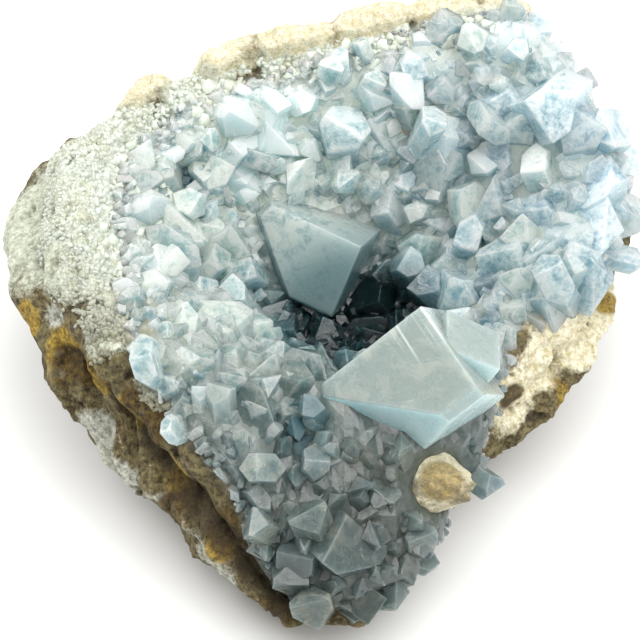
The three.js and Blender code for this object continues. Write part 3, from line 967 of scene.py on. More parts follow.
# %% Chamfered crystals
def chamfered(planes, strip):
    """The planes of a crystal, and one more for each edge: its normal is halfway between the
    two faces', and it cuts in so far that the strip has the given width in mm. For an angle t
    between the faces' normals that depth is strip / 2 * tan(t / 2)."""
    corners, _ = convex_solid(planes)
    normals = planes[:, :3]
    on_face = np.abs(corners @ normals.T - planes[:, 3]) < 0.03
    rows = list(planes)
    for i, j in itertools.combinations(range(len(planes)), 2):
        on_both = corners[on_face[:, i] & on_face[:, j]]
        if len(on_both) < 2:
            continue
        middle = unit(normals[i] + normals[j])
        angle = math.acos(max(-1, min(1, normals[i] @ normals[j])))
        rows.append([*middle, middle @ on_both[0] - strip / 2 * math.tan(angle / 2)])
    return np.array(rows)


def crystal_shape(size, lean=0, point=0, strip=0.0):
    """Corners, faces and, for each face, 1 if it is a chamfer."""
    planes = crystal_planes(size, lean, point)
    if not strip:
        corners, faces = convex_solid(planes)
        return corners, faces, np.zeros(len(faces))
    cut = chamfered(planes, strip)
    corners, faces = convex_solid(cut)
    middles = np.array([corners[face].mean(0) for face in faces])
    on_main = np.abs(middles @ planes[:, :3].T - planes[:, 3]).min(1) < 0.01
    return corners, faces, np.where(on_main, 0.0, 1.0)


one = crystal_shape((10, 8, 6), strip=0.3)
print("a chamfered crystal has", len(one[1]), "faces,", int(one[2].sum()), "of them strips")

# %% [markdown]
# The shapes differ as real habits do: thin plates, thick columns and blocks, some with two small
# faces that cut into the tip. The blocks get chamfers; the fillers are too small to show any.

# %% A library of shapes
HABITS = [(0.34, 0.5), (1.3, 1.3), (0.36, 0.6), (1.0, 1.25), (0.6, 0.9)]  # thickness / width


def shape_library(seed, count, strip):
    """count crystals of width 1, each with its own length, lean and point. In turn they are
    plates, four-sided columns (so thick that the flat faces vanish) and six-sided blocks."""
    rng = np.random.default_rng(seed)
    shapes = []
    for k in range(count):
        length = 0.8 + 0.6 * rng.random() ** 2
        thinnest, thickest = HABITS[k % len(HABITS)]
        thickness = thinnest + (thickest - thinnest) * rng.random()
        lean = 0.45 * (rng.random() - 0.5)
        point = 0.88 + 0.08 * rng.random() if rng.random() < 0.2 else 0
        corners, faces, edge = crystal_shape(
            (10 * length, 10, 10 * thickness), lean, point, 10 * strip)
        shapes.append((corners / 10, faces, edge))
    return shapes


BLOCK_SHAPES = shape_library(31, 40, 0.035)
FILLER_SHAPES = shape_library(32, 24, 0)
print("a block has", len(BLOCK_SHAPES[0][1]), "faces, a filler", len(FILLER_SHAPES[0][1]))

# %% [markdown]
# ## The layer under the crystals
#
# All crystals grow from one layer, a few millimetres thick. It follows the stone, so it is made
# on the same two parameters: the same grid twice, once raised above the stone and once 1 mm
# inside it, joined along the edge where the crystals end.

# %% The layer
LAYER_AROUND = 170
LAYER_RINGS = np.linspace(0.08, 1, 46)  # as shares of the way to the druse's end
LAYER_HEIGHT = 2.3  # mm
LAYER_LUMPS = 2.2  # mm


def make_layer():
    """A closed skin. Its upper side is the stone plus the layer's height and its lumps, its under
    side the stone less 1 mm, and at the crystals' end the upper side dips into the stone."""
    arounds = np.arange(LAYER_AROUND) * len(STATIONS) / LAYER_AROUND
    around, share = on_grid(arounds, LAYER_RINGS)
    ring = share * (druse_end(around) + 0.1)
    point, normal = stone_place(around, ring)
    lumps = LAYER_HEIGHT + LAYER_LUMPS * value_noise(point, 2.4, 41)
    edge = smooth_step(-0.35, 0.08, ring - druse_end(around))
    height = lumps * (1 - edge) * (1 - patches(point, DEEP)) * (1 - knob_share(point))
    height = height - 0.6 * edge
    upper = point + normal * height[..., None]
    under = (point - normal)[::-1]
    top = stone_place(0, 0)
    grid = np.concatenate([upper, under])
    return closed_skin(top[0] + 2 * top[1], grid, top[0] - top[1])


layer = make_layer()
print("the layer has", len(layer[1]), "faces")

# %% [markdown]
# ## A crystal's mesh
#
# A material can't know which crystal it is on. So each crystal's mesh carries that knowledge: for
# each face the crystal's own tone, cloudiness and hue, and for each corner of a face its place
# along the crystal, how near the root it is and how near the face's rim. Each face also gets a
# point in its middle, because only then can something fade from the rim inwards.


# %% A crystal's mesh
def root_milk_and_gap_light(share):
    """Extra milkiness at a place along a crystal's length, partly the white layer it grows from
    and partly painted light in the shaded gaps between crystals: 0.8 at its root, none from 0.7
    on.
    """
    return 0.8 * (1 - smooth_step(-0.1, 0.7, share))


def with_middles(corners, faces, edge):
    """Each face that isn't a chamfer gets a point in its middle and is cut into triangles around
    it. Gives points, faces, which face each came from, and for each face corner 1 on the rim
    and 0 in the middle."""
    points, cut, source, rim = list(corners), [], [], []
    for k, face in enumerate(faces):
        if edge[k]:
            cut.append(face)
            source.append(k)
            rim += [1.0] * len(face)
            continue
        middle = len(points)
        points.append(corners[face].mean(0))
        for first, second in zip(face, face[1:] + face[:1]):
            cut.append([first, second, middle])
            source.append(k)
            rim += [1.0, 1.0, 0.0]
    return np.array(points), cut, np.array(source), np.array(rim)


def crystal_mesh(name, shape, at, axes, scale, values):
    """One closed crystal as a mesh: its corners are scaled, turned by axes and moved to its
    root. values are kept for each face. Each face's corners keep their place along the crystal's
    own axes, in mm, how near the root it is, and how near the face's rim."""
    points, faces, source, rim = with_middles(*shape)
    mesh = mesh_of(name, at + scale * points @ axes.T, faces)
    for key, value in values.items():
        store(mesh, key, np.full(len(faces), value), domain="FACE")
    store(mesh, "edge", shape[2][source], domain="FACE")
    own = scale * points[list(itertools.chain(*faces))]
    store(mesh, "local", own, "FLOAT_VECTOR", "CORNER")
    store(mesh, "near_root", root_milk_and_gap_light(own[:, 2] / (scale * points[:, 2].max())),
          domain="CORNER")
    store(mesh, "rim", rim, domain="CORNER")
    return mesh


def face_values(root, rng, known=None):
    """What a crystal's material reads, from the druse at its root and some chance: tone, cloud,
    grey, stain, deep, hue and strewn. A large crystal's cloudiness is known."""
    _, cloud, grey = druse_at(np.asarray(root))
    cloud = np.clip(cloud + 0.35 * (rng.random() - 0.5), 0, 1) if known is None else known
    stain = float(patches(np.asarray(root)[None], STAINED)[0]) * (0.3 + 0.7 * rng.random())
    deep = float(patches(np.asarray(root)[None], DEEP)[0])
    cloud = cloud if known == 1.0 else cloud * (1 - 0.7 * deep)
    return {"tone": rng.random(), "cloud": cloud, "grey": grey, "stain": stain, "deep": deep,
            "hue": rng.random() if known is None else 0.65, "strewn": 1.0}


print("a crystal's root has", root_milk_and_gap_light(np.zeros(1)).round(2)[0], "more milk than its tip")

# %% [markdown]
# ## The union of layer and crystals
#
# In a real crust all crystals have grown into each other. Meshes that merely pass through each
# other would show dark seams in see-through matter, and light would count the walls inside. So
# one Boolean modifier joins them all to the layer, in a single step and into one closed mesh.


# %% The union of layer and crystals
def union_of(base, meshes):
    """The union of closed meshes, by one Boolean modifier over a collection of them."""
    crowd = bpy.data.collections.new("crowd")
    bpy.context.scene.collection.children.link(crowd)
    for mesh in meshes:
        crowd.objects.link(bpy.data.objects.new(mesh.name, mesh))
    carrier = bpy.data.objects.new("carrier", base)
    bpy.context.scene.collection.objects.link(carrier)
    union = carrier.modifiers.new("union", "BOOLEAN")
    union.operation, union.solver = "UNION", "MANIFOLD"
    union.operand_type, union.collection = "COLLECTION", crowd
    result = bpy.data.meshes.new_from_object(
        carrier.evaluated_get(bpy.context.evaluated_depsgraph_get()))
    assert len(result.polygons) != len(base.polygons), "the union failed"
    for unused in [carrier, *crowd.objects]:
        bpy.data.objects.remove(unused)
    bpy.data.collections.remove(crowd)
    for mesh in [base, *meshes]:
        bpy.data.meshes.remove(mesh)
    return result


def layer_mesh():
    """The layer with the numbers that the crystals' meshes have, from the druse around it."""
    base = mesh_of("layer", *layer)
    middles = np.array([polygon.center for polygon in base.polygons]) / MM
    _, cloud, grey = druse_at(middles).T
    for name, values in (("tone", value_noise(middles, 3, 5)), ("cloud", cloud), ("grey", grey),
                         ("stain", 0 * grey), ("deep", patches(middles, DEEP)),
                         ("hue", value_noise(middles, 6, 9)), ("edge", 0 * grey),
                         ("strewn", 1 + 0 * grey)):
        store(base, name, values, domain="FACE")
    points = np.array([v.co for v in base.vertices]) / MM
    corner = np.array([loop.vertex_index for loop in base.loops])
    store(base, "local", points[corner], "FLOAT_VECTOR", "CORNER")
    store(base, "near_root", np.full(len(corner), 0.5), domain="CORNER")
    store(base, "rim", np.full(len(corner), 0.5), domain="CORNER")
    return base


def make_crust():
    """Layer, large, medium and strewn crystals, joined into one solid."""
    rng = np.random.default_rng(51)
    meshes = []
    for k, (at, tip, turn, size, lean, point, known) in enumerate(SINGLE_CRYSTALS + medium):
        direction = compass_tip(*tip) if len(tip) == 2 else tip
        if known is None and in_the_way(np.asarray(at), direction, size[0]):
            continue
        shape = crystal_shape(size, lean, point, 0.15 + 0.012 * size[1])
        values = face_values(at, rng, known)
        values["strewn"] = float(k >= len(BROAD_CRYSTALS))
        meshes.append(crystal_mesh("grown", shape, np.array(at, float),
                                   turn_to(direction, turn), 1, values))
    for shapes, strewn in ((BLOCK_SHAPES, blocks), (FILLER_SHAPES, fillers)):
        for at, tip, turn, width in zip(*strewn):
            shape = shapes[rng.integers(len(shapes))]
            meshes.append(crystal_mesh("small", shape, at, turn_to(tip, turn), width,
                                       face_values(at, rng)))
    return union_of(layer_mesh(), meshes)


crust_mesh = make_crust()
crust_mesh.name = "celestite_crust"
print("crust:", triangles(crust_mesh), "triangles")

# %% [markdown]
# ## Worn edges
#
# Real edges are a little worn, so a bright line runs along them and fades into the faces. The
# chamfers give the line its width. What is missing is the fade, and that needs no more geometry:
# a chamfer's corners borrow the normals of the faces beside it.


# %% Worn edges
def round_edges(mesh):
    """Shades the chamfers as worn, rounded edges. A flat face keeps its own normal at all its
    corners. Each corner of a chamfer takes the normal of the flat face that it touches, if the
    two are less than 53 degrees apart, so the light runs over the strip without a step."""
    count = len(mesh.polygons)
    vertex, sizes = np.zeros(len(mesh.loops), np.int32), np.zeros(count, np.int32)
    normals, edge = np.zeros(3 * count, np.float32), np.zeros(count, np.float32)
    mesh.loops.foreach_get("vertex_index", vertex)
    mesh.polygons.foreach_get("loop_total", sizes)
    mesh.polygons.foreach_get("normal", normals)
    mesh.attributes["edge"].data.foreach_get("value", edge)
    face = np.repeat(np.arange(count), sizes)
    own = normals.reshape(-1, 3)[face]
    flat = edge[face] < 0.5
    touched = np.zeros((len(mesh.vertices), 3), np.float32)
    touched[vertex[flat]] = own[flat]
    beside = ~flat & ((touched[vertex] * own).sum(1) > 0.6)
    mesh.shade_smooth()
    mesh.normals_split_custom_set(np.where(beside[:, None], touched[vertex], own).tolist())
    # how far each face looks down, for the painted light from below
    store(mesh, "under", 1 - smooth_step(-0.2, 0.6, normals[2::3]), domain="FACE")
    print(int(beside.sum()), "corners of chamfers take a flat face's normal")


round_edges(crust_mesh)

# %% [markdown]
# ## Sugar on the shoulder
#
# Past the edge of the crust the crystals don't stop at once. They get smaller, from about 2 mm,
# with a few of 4 mm, to half a millimetre, and lie on the rind like sugar. There are thousands of
# them, far too small to be worth a Boolean, so they are put into one mesh as they are: all the
# grains of one shape are scaled, turned and moved as one array.

# %% Sugar grains
GRAIN_TRIES = 84000
GRAIN_SHAPES = shape_library(33, 12, 0)
GRAINS_BEFORE = 1.2  # rings before the druse's end at which the grains begin
GRAINS_PAST = 1.7  # rings past the druse's end at which they stop


def many_in_one(name, shapes, roots, tips, turns, widths, values):
    """One mesh of many closed crystals. Corner j of crystal i lies at root i + width i times
    corner j turned by crystal i's axes."""
    vertices, faces, owner, own = [], [], [], []
    count = 0
    axes = np.array([turn_to(tip, turn) for tip, turn in zip(tips, turns)])
    for k, (corners, shape_faces, _) in enumerate(shapes):
        mine = np.arange(k, len(roots), len(shapes))
        scaled = widths[mine, None, None] * corners
        turned = roots[mine, None] + np.einsum("nvj,nij->nvi", scaled, axes[mine])
        vertices.append(turned.reshape(-1, 3))
        for place, i in enumerate(mine):
            start = count + place * len(corners)
            faces += [[start + v for v in face] for face in shape_faces]
        owner.append(np.repeat(mine, len(shape_faces)))
        order = list(itertools.chain(*shape_faces))
        own.append(scaled[:, order].reshape(-1, 3))
        count += len(mine) * len(corners)
    mesh = mesh_of(name, np.concatenate(vertices), faces)
    owner = np.concatenate(owner)
    for key, value in values.items():
        store(mesh, key, value[owner], domain="FACE")
    store(mesh, "local", np.concatenate(own), "FLOAT_VECTOR", "CORNER")
    return mesh


def make_grains():
    """Grains of 2.3 mm at most, and a few up to twice that, where the crust ends. They get
    smaller with each step away from it, down to 0.5 mm, and lie where the rind is sugary."""
    rng = np.random.default_rng(61)
    around, ring = places_by_area(GRAIN_TRIES, lambda around: druse_end(around) - GRAINS_BEFORE,
                                  lambda around: druse_end(around) + GRAINS_PAST, rng)
    point, normal = stone_place(around, ring)
    past = np.clip((ring - druse_end(around)) / GRAINS_PAST, 0, 1)
    on_layer = 2.6 * (1 - smooth_step(-0.4, 0.05, ring - druse_end(around)))
    point += on_layer[:, None] * normal
    inwards = smooth_step(-GRAINS_BEFORE, 0, ring - druse_end(around))
    stay = rng.random(len(ring)) < 0.75 * patches(point, SUGAR) * (1 - 0.5 * past) * inwards
    point, normal, past = point[stay], normal[stay], past[stay]
    width = (1.9 - 1.2 * past ** 0.4) * (0.7 + 0.5 * rng.random(len(past)))
    width *= 1 + (1 - past) ** 4 * rng.random(len(past)) ** 4
    tips = unit(normal + 1.3 * (rng.random(point.shape) - 0.5))
    grey = smooth_step(10, -24, point[:, 1])
    values = {"tone": rng.random(len(past)), "grey": np.clip(grey + 0.2 * past, 0, 1)}
    return many_in_one("sugar_grains", GRAIN_SHAPES, point - 0.6 * width[:, None] * normal, tips,
                       360 * rng.random(len(past)), width, values)


grains_mesh = make_grains()
grains_mesh.shade_smooth()
print("sugar grains:", triangles(grains_mesh), "triangles")

# %% [markdown]
# ## Materials
#
# A material is a small network of nodes. It could be painted onto the mesh as a picture, but a
# network works at any size and needs no unwrapping. One function adds a node with its settings
# and its links. A second one lays colours over each other, each with a share that is a number or
# another node's output. Colours are written as on a colour card, as hex values, and turned into
# the linear numbers that the renderer adds up.


# %% Helpers for materials
def linear(card):
    """An sRGB hex value as linear red, green, blue and alpha 1: each channel c becomes
    ((c + 0.055) / 1.055) ^ 2.4, or c / 12.92 below 0.04045."""
    parts = [int(card[i:i + 2], 16) / 255 for i in (1, 3, 5)]
    return (*[c / 12.92 if c <= 0.04045 else ((c + 0.055) / 1.055) ** 2.4 for c in parts], 1.0)


def new_material(name):
    """A material with an empty network, and the network."""
    material = bpy.data.materials.new(name)
    material.use_nodes = True
    material.node_tree.nodes.clear()
    return material, material.node_tree


def node(tree, kind, inputs=(), output=0, **settings):
    """Adds a node, such as "Math", and gives one of its outputs. settings are the node's own
    properties. inputs are values, or other nodes' outputs to link to: a list for the first
    sockets, or a dict with the sockets' names or numbers."""
    made = tree.nodes.new("ShaderNode" + kind)
    for key, value in settings.items():
        setattr(made, key, value)
    for key, value in inputs.items() if isinstance(inputs, dict) else enumerate(inputs):
        if isinstance(value, bpy.types.NodeSocket):
            tree.links.new(value, made.inputs[key])
        else:
            made.inputs[key].default_value = value
    return made.outputs[output] if made.outputs else None


def layered(tree, first, *layers):
    """Lays colours over a first one. Each layer is a share from 0 to 1 and a colour, and a
    colour is a hex value or a node's output."""
    def numbers(colour):
        """A hex value as linear numbers; an output stays as it is."""
        return linear(colour) if isinstance(colour, str) else colour

    result = numbers(first)
    for share, over in layers:
        result = node(tree, "Mix", {0: share, 6: result, 7: numbers(over)}, 2, data_type="RGBA")
    return result


print("a middle grey is", round(linear("#808080")[0], 3), "in linear numbers")

# %% [markdown]
# ### The colours of limestone
#
# Weathered limestone is dull and porous. Iron has stained it in patches, from cream to ochre to
# brown, and its pits are painted darker, as shade. The large patches come from the masks kept in
# the mesh; noise of 6 mm, 1.1 mm and 0.5 mm breaks them up, as lumps, grains and specks do. Each
# stain has two shades, a dark one between the grains and a light one on them.

# %% Colours of limestone
PIT = (7 * MM, 6 * MM, 20 * MM)  # the hollow's floor
PIT_SHADE = (20 * MM, 12 * MM)  # how far from it the painted shade of the pit begins, and where it is darkest
# mask: strength, then the dark and the light shade. A later stain lies over an earlier one.
STAINS = {
    "grey": (0.9, "#84867A", "#D6D6C8"),
    "sugar": (0.9, "#A5AA94", "#DEE3D2"),
    "cream": (1.0, "#C8BA8C", "#F8F3DC"),
    "ochre": (0.95, "#5A4412", "#B89A40"),
    "brown": (0.95, "#241A0A", "#64501F"),
}
print("stains from the lowest to the uppermost:", *STAINS)


def stain_share(tree, name, ragged, strength):
    """How much of a stain shows: 1.3 times its mask plus ragged noise, stretched so that a sum
    of 1.2 gives 0 and a sum of 1.9 gives the stain's strength."""
    mask = node(tree, "Attribute", output="Fac", attribute_name=name)
    edge = node(tree, "Math", [mask, 1.3], operation="MULTIPLY")
    edge = node(tree, "Math", [edge, ragged], operation="ADD")
    share = node(tree, "MapRange", [edge, 1.2, 1.9])
    return node(tree, "Math", [share, strength], operation="MULTIPLY")


def root_colour(tree, place):
    """The stone under the crystals: pale under the blue ones, dark under the grey ones, and
    painted nearly black around the pit, as shade."""
    grey = node(tree, "Attribute", output="Fac", attribute_name="grey_root")
    from_pit = node(tree, "VectorMath", [place, PIT], "Value", operation="DISTANCE")
    painted_pit_shade = node(tree, "MapRange", [from_pit, *PIT_SHADE])
    # painted near-black shade around the pit
    return layered(tree, "#D9E8E6", (grey, "#65726F"), (painted_pit_shade, "#16282B"))


def limestone_colour(tree, place, lumps, grains, specks):
    """Two shades of the bare stone, a duller pair on its lumps, the stains, the stone under the
    crystals, then painted shade in the pits, lighter raised places and dark specks."""
    ragged = node(tree, "Math", [grains, lumps], operation="ADD")
    on_grains = node(tree, "MapRange", [grains, 0.36, 0.62])
    on_lumps = node(tree, "MapRange", [lumps, 0.5, 0.62, 0, 0.8])
    dull = layered(tree, "#2A210F", (on_grains, "#6A5931"))
    colour = layered(tree, "#3E351F", (on_grains, "#857A55"), (on_lumps, dull))
    for name, (strength, dark, light) in STAINS.items():
        stain = layered(tree, dark, (on_grains, light))
        colour = layered(tree, colour, (stain_share(tree, name, ragged, strength), stain))
    relief = node(tree, "Attribute", output="Fac", attribute_name="relief")
    covered = node(tree, "Attribute", output="Fac", attribute_name="covered")
    return layered(
        tree, colour,
        (covered, root_colour(tree, place)),
        # painted shade in the pits of the fine relief
        (node(tree, "MapRange", [relief, 0.45, 0.1, 0, 0.7]), "#32281A"),
        # lighter raised places
        (node(tree, "MapRange", [relief, 0.65, 0.95, 0, 0.3]), "#D2C8A8"),
        (node(tree, "MapRange", [specks, 0.58, 0.7, 0, 0.4]), "#2F281C"))


# %% [markdown]
# ### Limestone
#
# The surface is rough at every size, so it has no gloss at all. What is finer than the mesh, the
# grains and the specks, goes into the bump, 0.6 mm high.

# %% Limestone
LIMESTONE_NOISE = ((6, 6, 0.6), (1.1, 4, 0.7), (0.5, 3, 0.6))  # size in mm, detail, roughness
LIMESTONE_BUMP = 0.6 * MM  # what a height of 1 stands for


def make_limestone():
    """Weathered limestone, matt and grainy."""
    material, tree = new_material("limestone_weathered")
    place = node(tree, "TexCoord", output="Object")
    lumps, grains, specks = [
        node(tree, "TexNoise", {"Vector": place, "Scale": 1 / (size * MM), "Detail": detail,
                                "Roughness": rough})
        for size, detail, rough in LIMESTONE_NOISE]
    bumps = node(tree, "Math", [specks, 0.5], operation="MULTIPLY")
    bumps = node(tree, "Math", [grains, bumps], operation="ADD")
    normal = node(tree, "Bump", {"Height": bumps, "Strength": 1.0, "Distance": LIMESTONE_BUMP},
                  "Normal")
    shader = node(tree, "BsdfPrincipled", {
        "Base Color": limestone_colour(tree, place, lumps, grains, specks), "Roughness": 0.9,
        "IOR": 1.5, "Normal": normal})
    node(tree, "OutputMaterial", {"Surface": shader})
    return material


limestone = make_limestone()
print("limestone takes", len(limestone.node_tree.nodes), "nodes")

# %% [markdown]
# ### What a crystal's material reads
#
# Celestite is strontium sulphate. Light passes through it and bends, with an index of 1.62, and
# it is faintly blue. Few crystals are clear all through: bubbles and healed cracks make milky
# veils, and the outer faces are dull where they were etched. So there are four grades of the
# same mineral, from clear to the milkiest, and every face of the crust is given to one of them by
# its cloudiness. Each grade is a material of its own, because how much light it lets through is
# one plain value.
#
# Its recipe comes in steps. The first one gathers what the others read: the numbers kept in the
# mesh for each face, and noise at two sizes.

# %% What a crystal's material reads
KEPT_NUMBERS = ("tone", "cloud", "grey", "stain", "deep", "hue", "strewn", "edge", "under",
                "near_root", "rim")
# clouds, then mottle: size in mm, detail, roughness, distortion
CRYSTAL_NOISE = ((5, 3, 0.6, 0.6), (1.6, 4, 0.65, 0.8))
print(len(KEPT_NUMBERS), "numbers are read from the mesh")


def read_crystal(tree):
    """The numbers kept in the mesh; a point on the object and in the crystal's own axes, in
    metres; clouds of 5 mm and mottle of 1.6 mm; the distance from the pit; and how far a
    crystal is one of the milkiest, from cloudiness 0.9 to 1."""
    read = {name: node(tree, "Attribute", output="Fac", attribute_name=name)
            for name in KEPT_NUMBERS}
    own = node(tree, "Attribute", output="Vector", attribute_name="local")
    read["own"] = node(tree, "VectorMath", {0: own, 3: MM}, operation="SCALE")
    read["place"] = node(tree, "TexCoord", output="Object")
    read["clouds"], read["mottle"] = [
        node(tree, "TexNoise", {"Vector": read["place"], "Scale": 1 / (size * MM),
                                "Detail": detail, "Roughness": rough, "Distortion": bend})
        for size, detail, rough, bend in CRYSTAL_NOISE]
    read["from_pit"] = node(tree, "VectorMath", [read["place"], PIT], "Value",
                            operation="DISTANCE")
    read["milkiest"] = node(tree, "MapRange", [read["cloud"], 0.9, 1.0])
    return read


# %% [markdown]
# ### Sheets, cracks and lines
#
# A crack that has healed is a thin sheet of bubbles. It can be drawn as the place where noise
# passes its middle value, which is always a sheet and never a dot. Where a crystal's growth
# paused, it keeps a line across its length, and noise pressed together along the crystal gives
# that.

# %% Sheets, cracks and lines
FLAT_CRACKS = 5  # size of the noise in mm, as the next three
FINE_CRACKS = 2.2
GROWTH_LINES = 3
STRIPES = 1.1
PRESSED = 7  # how many times the growth lines' noise is pressed together along the crystal
# where the stripes begin and where they are strongest, on the crystal's own axes
STRIPED_ACROSS = (7 * MM, 10.5 * MM)
STRIPED_ALONG = (3 * MM, -1 * MM)
print("growth lines lie about", round(GROWTH_LINES / PRESSED, 1), "mm apart")


def sheets(tree, point, size, thickness, detail=4, bend=0.8):
    """Thin sheets: 1 where noise of size mm passes its middle value, 0 where it is thickness or
    more away from it."""
    wave = node(tree, "TexNoise", {"Vector": point, "Scale": 1 / (size * MM), "Detail": detail,
                                   "Roughness": 0.55, "Distortion": bend})
    off = node(tree, "Math", [wave, 0.5], operation="SUBTRACT")
    off = node(tree, "Math", [off], operation="ABSOLUTE")
    return node(tree, "MapRange", [off, thickness, 0.0])


def healed_cracks(tree, read):
    """Flat sheets across a crystal, where the clouds let them show, and fine bent ones about
    2 mm apart, which the grey crystals lack. The broad crystals have neither."""
    flat = node(tree, "Mapping", {"Vector": read["own"], "Scale": (0.4, 0.4, 3)})
    flat = sheets(tree, flat, FLAT_CRACKS, 0.02, 1, 0)
    shown = node(tree, "MapRange", [read["clouds"], 0.5, 0.65])
    flat = node(tree, "Math", [flat, shown], operation="MULTIPLY")
    fine = sheets(tree, read["place"], FINE_CRACKS, 0.025)
    not_grey = node(tree, "MapRange", [read["grey"], 0, 0.7, 0.6, 0])
    fine = node(tree, "Math", [fine, not_grey], operation="MULTIPLY")
    both = node(tree, "Math", [flat, fine], operation="MAXIMUM")
    both = node(tree, "Math", [both, read["strewn"]], operation="MULTIPLY")
    strength = node(tree, "MapRange", [read["grey"], 0, 1, 0.4, 0.15])
    return node(tree, "Math", [both, strength], operation="MULTIPLY")


def growth_lines(tree, read):
    """Noise that is pressed together along the crystal, where the clouds let it show."""
    pressed = node(tree, "Mapping", {"Vector": read["own"], "Scale": (1, 1, PRESSED)})
    lines = node(tree, "TexNoise", {"Vector": pressed, "Scale": 1 / (GROWTH_LINES * MM),
                                    "Detail": 3, "Roughness": 0.6})
    shown = node(tree, "MapRange", [read["clouds"], 0.45, 0.65])
    return node(tree, "Math", [lines, shown], operation="MULTIPLY")


def white_stripes(tree, read):
    """White stripes on the milkiest crystals, where one of their side edges meets the root:
    noise that changes along the crystal only."""
    pressed = node(tree, "Mapping", {"Vector": read["own"], "Scale": (0.02, 0.02, 1)})
    lines = node(tree, "TexNoise", {"Vector": pressed, "Scale": 1 / (STRIPES * MM), "Detail": 1})
    across = node(tree, "SeparateXYZ", [read["own"]], "X")
    along = node(tree, "SeparateXYZ", [read["own"]], "Z")
    share = node(tree, "MapRange", [lines, 0.5, 0.62])
    for part in (node(tree, "MapRange", [across, *STRIPED_ACROSS]),
                 node(tree, "MapRange", [along, *STRIPED_ALONG]),
                 node(tree, "Math", [read["milkiest"], 0.8], operation="MULTIPLY")):
        share = node(tree, "Math", [share, part], operation="MULTIPLY")
    return share


# %% [markdown]
# ### Milk
#
# How milky a point is decides most of its look. Clouds give the large shapes of it. Milk gathers
# at a crystal's root and along the rims of its faces. There it is partly painted light, which
# lightens the shaded gaps between crystals and lights the rims. Higher up on the stone there is
# more of it than down in the pit.

# %% Milk
VEILS = 6  # size of the noise in mm
MILKY_HEIGHTS = (22 * MM, 38 * MM)  # heights above the floor between which milk increases
print("milk increases from", MILKY_HEIGHTS[0] / MM, "to", MILKY_HEIGHTS[1] / MM, "mm")


def rim_milk_and_highlight(tree, read):
    """Milk and a painted highlight at a face's rim: 0.3 times the square of how near the rim a
    point is, with an uneven edge.
    """
    uneven = node(tree, "MapRange", [read["mottle"], 0.3, 0.7, -0.15, 0.15])
    rim = node(tree, "Math", [read["rim"], uneven], operation="ADD")
    rim = node(tree, "MapRange", [rim, 0.3, 1.0])
    rim = node(tree, "Math", [rim, 2], operation="POWER")
    return node(tree, "Math", [rim, 0.3], operation="MULTIPLY")


def milkiness(tree, read, pale):
    """From 0, clear, to 1, white: clouds from pale - 0.6 to pale + 0.05, and the other parts
    added to them. The milkiest crystals have weaker spots than the others."""
    spots = node(tree, "MapRange", [read["mottle"], 0.35, 0.65, -0.3, 0.3])
    weaker = node(tree, "MapRange", [read["milkiest"], 0, 1, 1, 0.3])
    veils = sheets(tree, read["place"], VEILS, 0.04)
    height = node(tree, "SeparateXYZ", [read["place"]], "Z")
    milk = node(tree, "MapRange", [read["clouds"], 0.38, 0.62, pale - 0.6, pale + 0.05])
    for part in (
            node(tree, "Math", [spots, weaker], operation="MULTIPLY"),
            node(tree, "MapRange", [read["tone"], 0.5, 1.0, 0, 0.3]),
            node(tree, "Math", [read["milkiest"], 0.4], operation="MULTIPLY"),
            read["near_root"],
            node(tree, "MapRange", [read["cloud"], 0.75, 0.97, 0, 0.4]),
            rim_milk_and_highlight(tree, read),
            node(tree, "Math", [veils, 0.3], operation="MULTIPLY"),
            node(tree, "MapRange", [height, *MILKY_HEIGHTS, -0.15, 0.1])):
        milk = node(tree, "Math", [milk, part], operation="ADD")
    return node(tree, "Clamp", [milk])


# %% [markdown]
# ### Blue and grey crystals
#
# Celestite is blue for reasons inside the crystal, so each crystal has a hue and a depth of its
# own, from greenish to blue. The druse on the front slope is smoky grey instead.

# %% Blue and grey crystals
BLUE_FROM, BLUEST = 0, 60 * MM  # places along X
print("crystals get bluer from", BLUE_FROM / MM, "to", BLUEST / MM, "mm along X")


def blue_share(tree, read):
    """0 for a greenish crystal and 1 for a blue one, by the crystal's own hue. They get bluer
    towards +X, and the milkiest are bluer too."""
    across = node(tree, "SeparateXYZ", [read["place"]], "X")
    share = node(tree, "MapRange", [read["hue"], 0.2, 0.8, -0.5, 0.5])
    towards_x = node(tree, "MapRange", [across, BLUE_FROM, BLUEST, 0, 0.9])
    milkiest = node(tree, "Math", [read["milkiest"], 0.4], operation="MULTIPLY")
    share = node(tree, "Math", [share, towards_x], operation="ADD")
    return node(tree, "Math", [share, milkiest], operation="ADD", use_clamp=True)


def blue_celestite(tree, read, pale):
    """A blue or greenish body, deeper blue where the crystal's tone is below 0.4, and its milk
    over it."""
    blue = blue_share(tree, read)
    milk = milkiness(tree, read, pale)
    own_tone = node(tree, "MapRange", [read["tone"], 0.0, 0.4])
    whiter = node(tree, "Math", [read["milkiest"], 0.85], operation="MULTIPLY")
    body = layered(tree, "#94B5B0", (blue, "#8FAFC0"))
    white = layered(tree, "#E5EEE4", (blue, "#E2EFF2"), (whiter, "#E9FAF6"))
    return layered(tree, "#759FA8", (own_tone, body), (milk, white))


def smoky_celestite(tree, read):
    """Smoke grey in two shades, lighter at the root, bluer in some crystals and brownish in the
    clouds."""
    at_root = node(tree, "Math", [read["near_root"], 0.8], operation="MULTIPLY")
    return layered(
        tree, "#586662",
        (node(tree, "MapRange", [read["mottle"], 0.35, 0.65]), "#6E7A74"),
        (at_root, "#7C857C"),
        (node(tree, "MapRange", [read["tone"], 0.6, 1, 0, 0.5]), "#7A8C90"),
        (node(tree, "MapRange", [read["clouds"], 0.52, 0.7, 0, 0.7]), "#8F8D7C"))


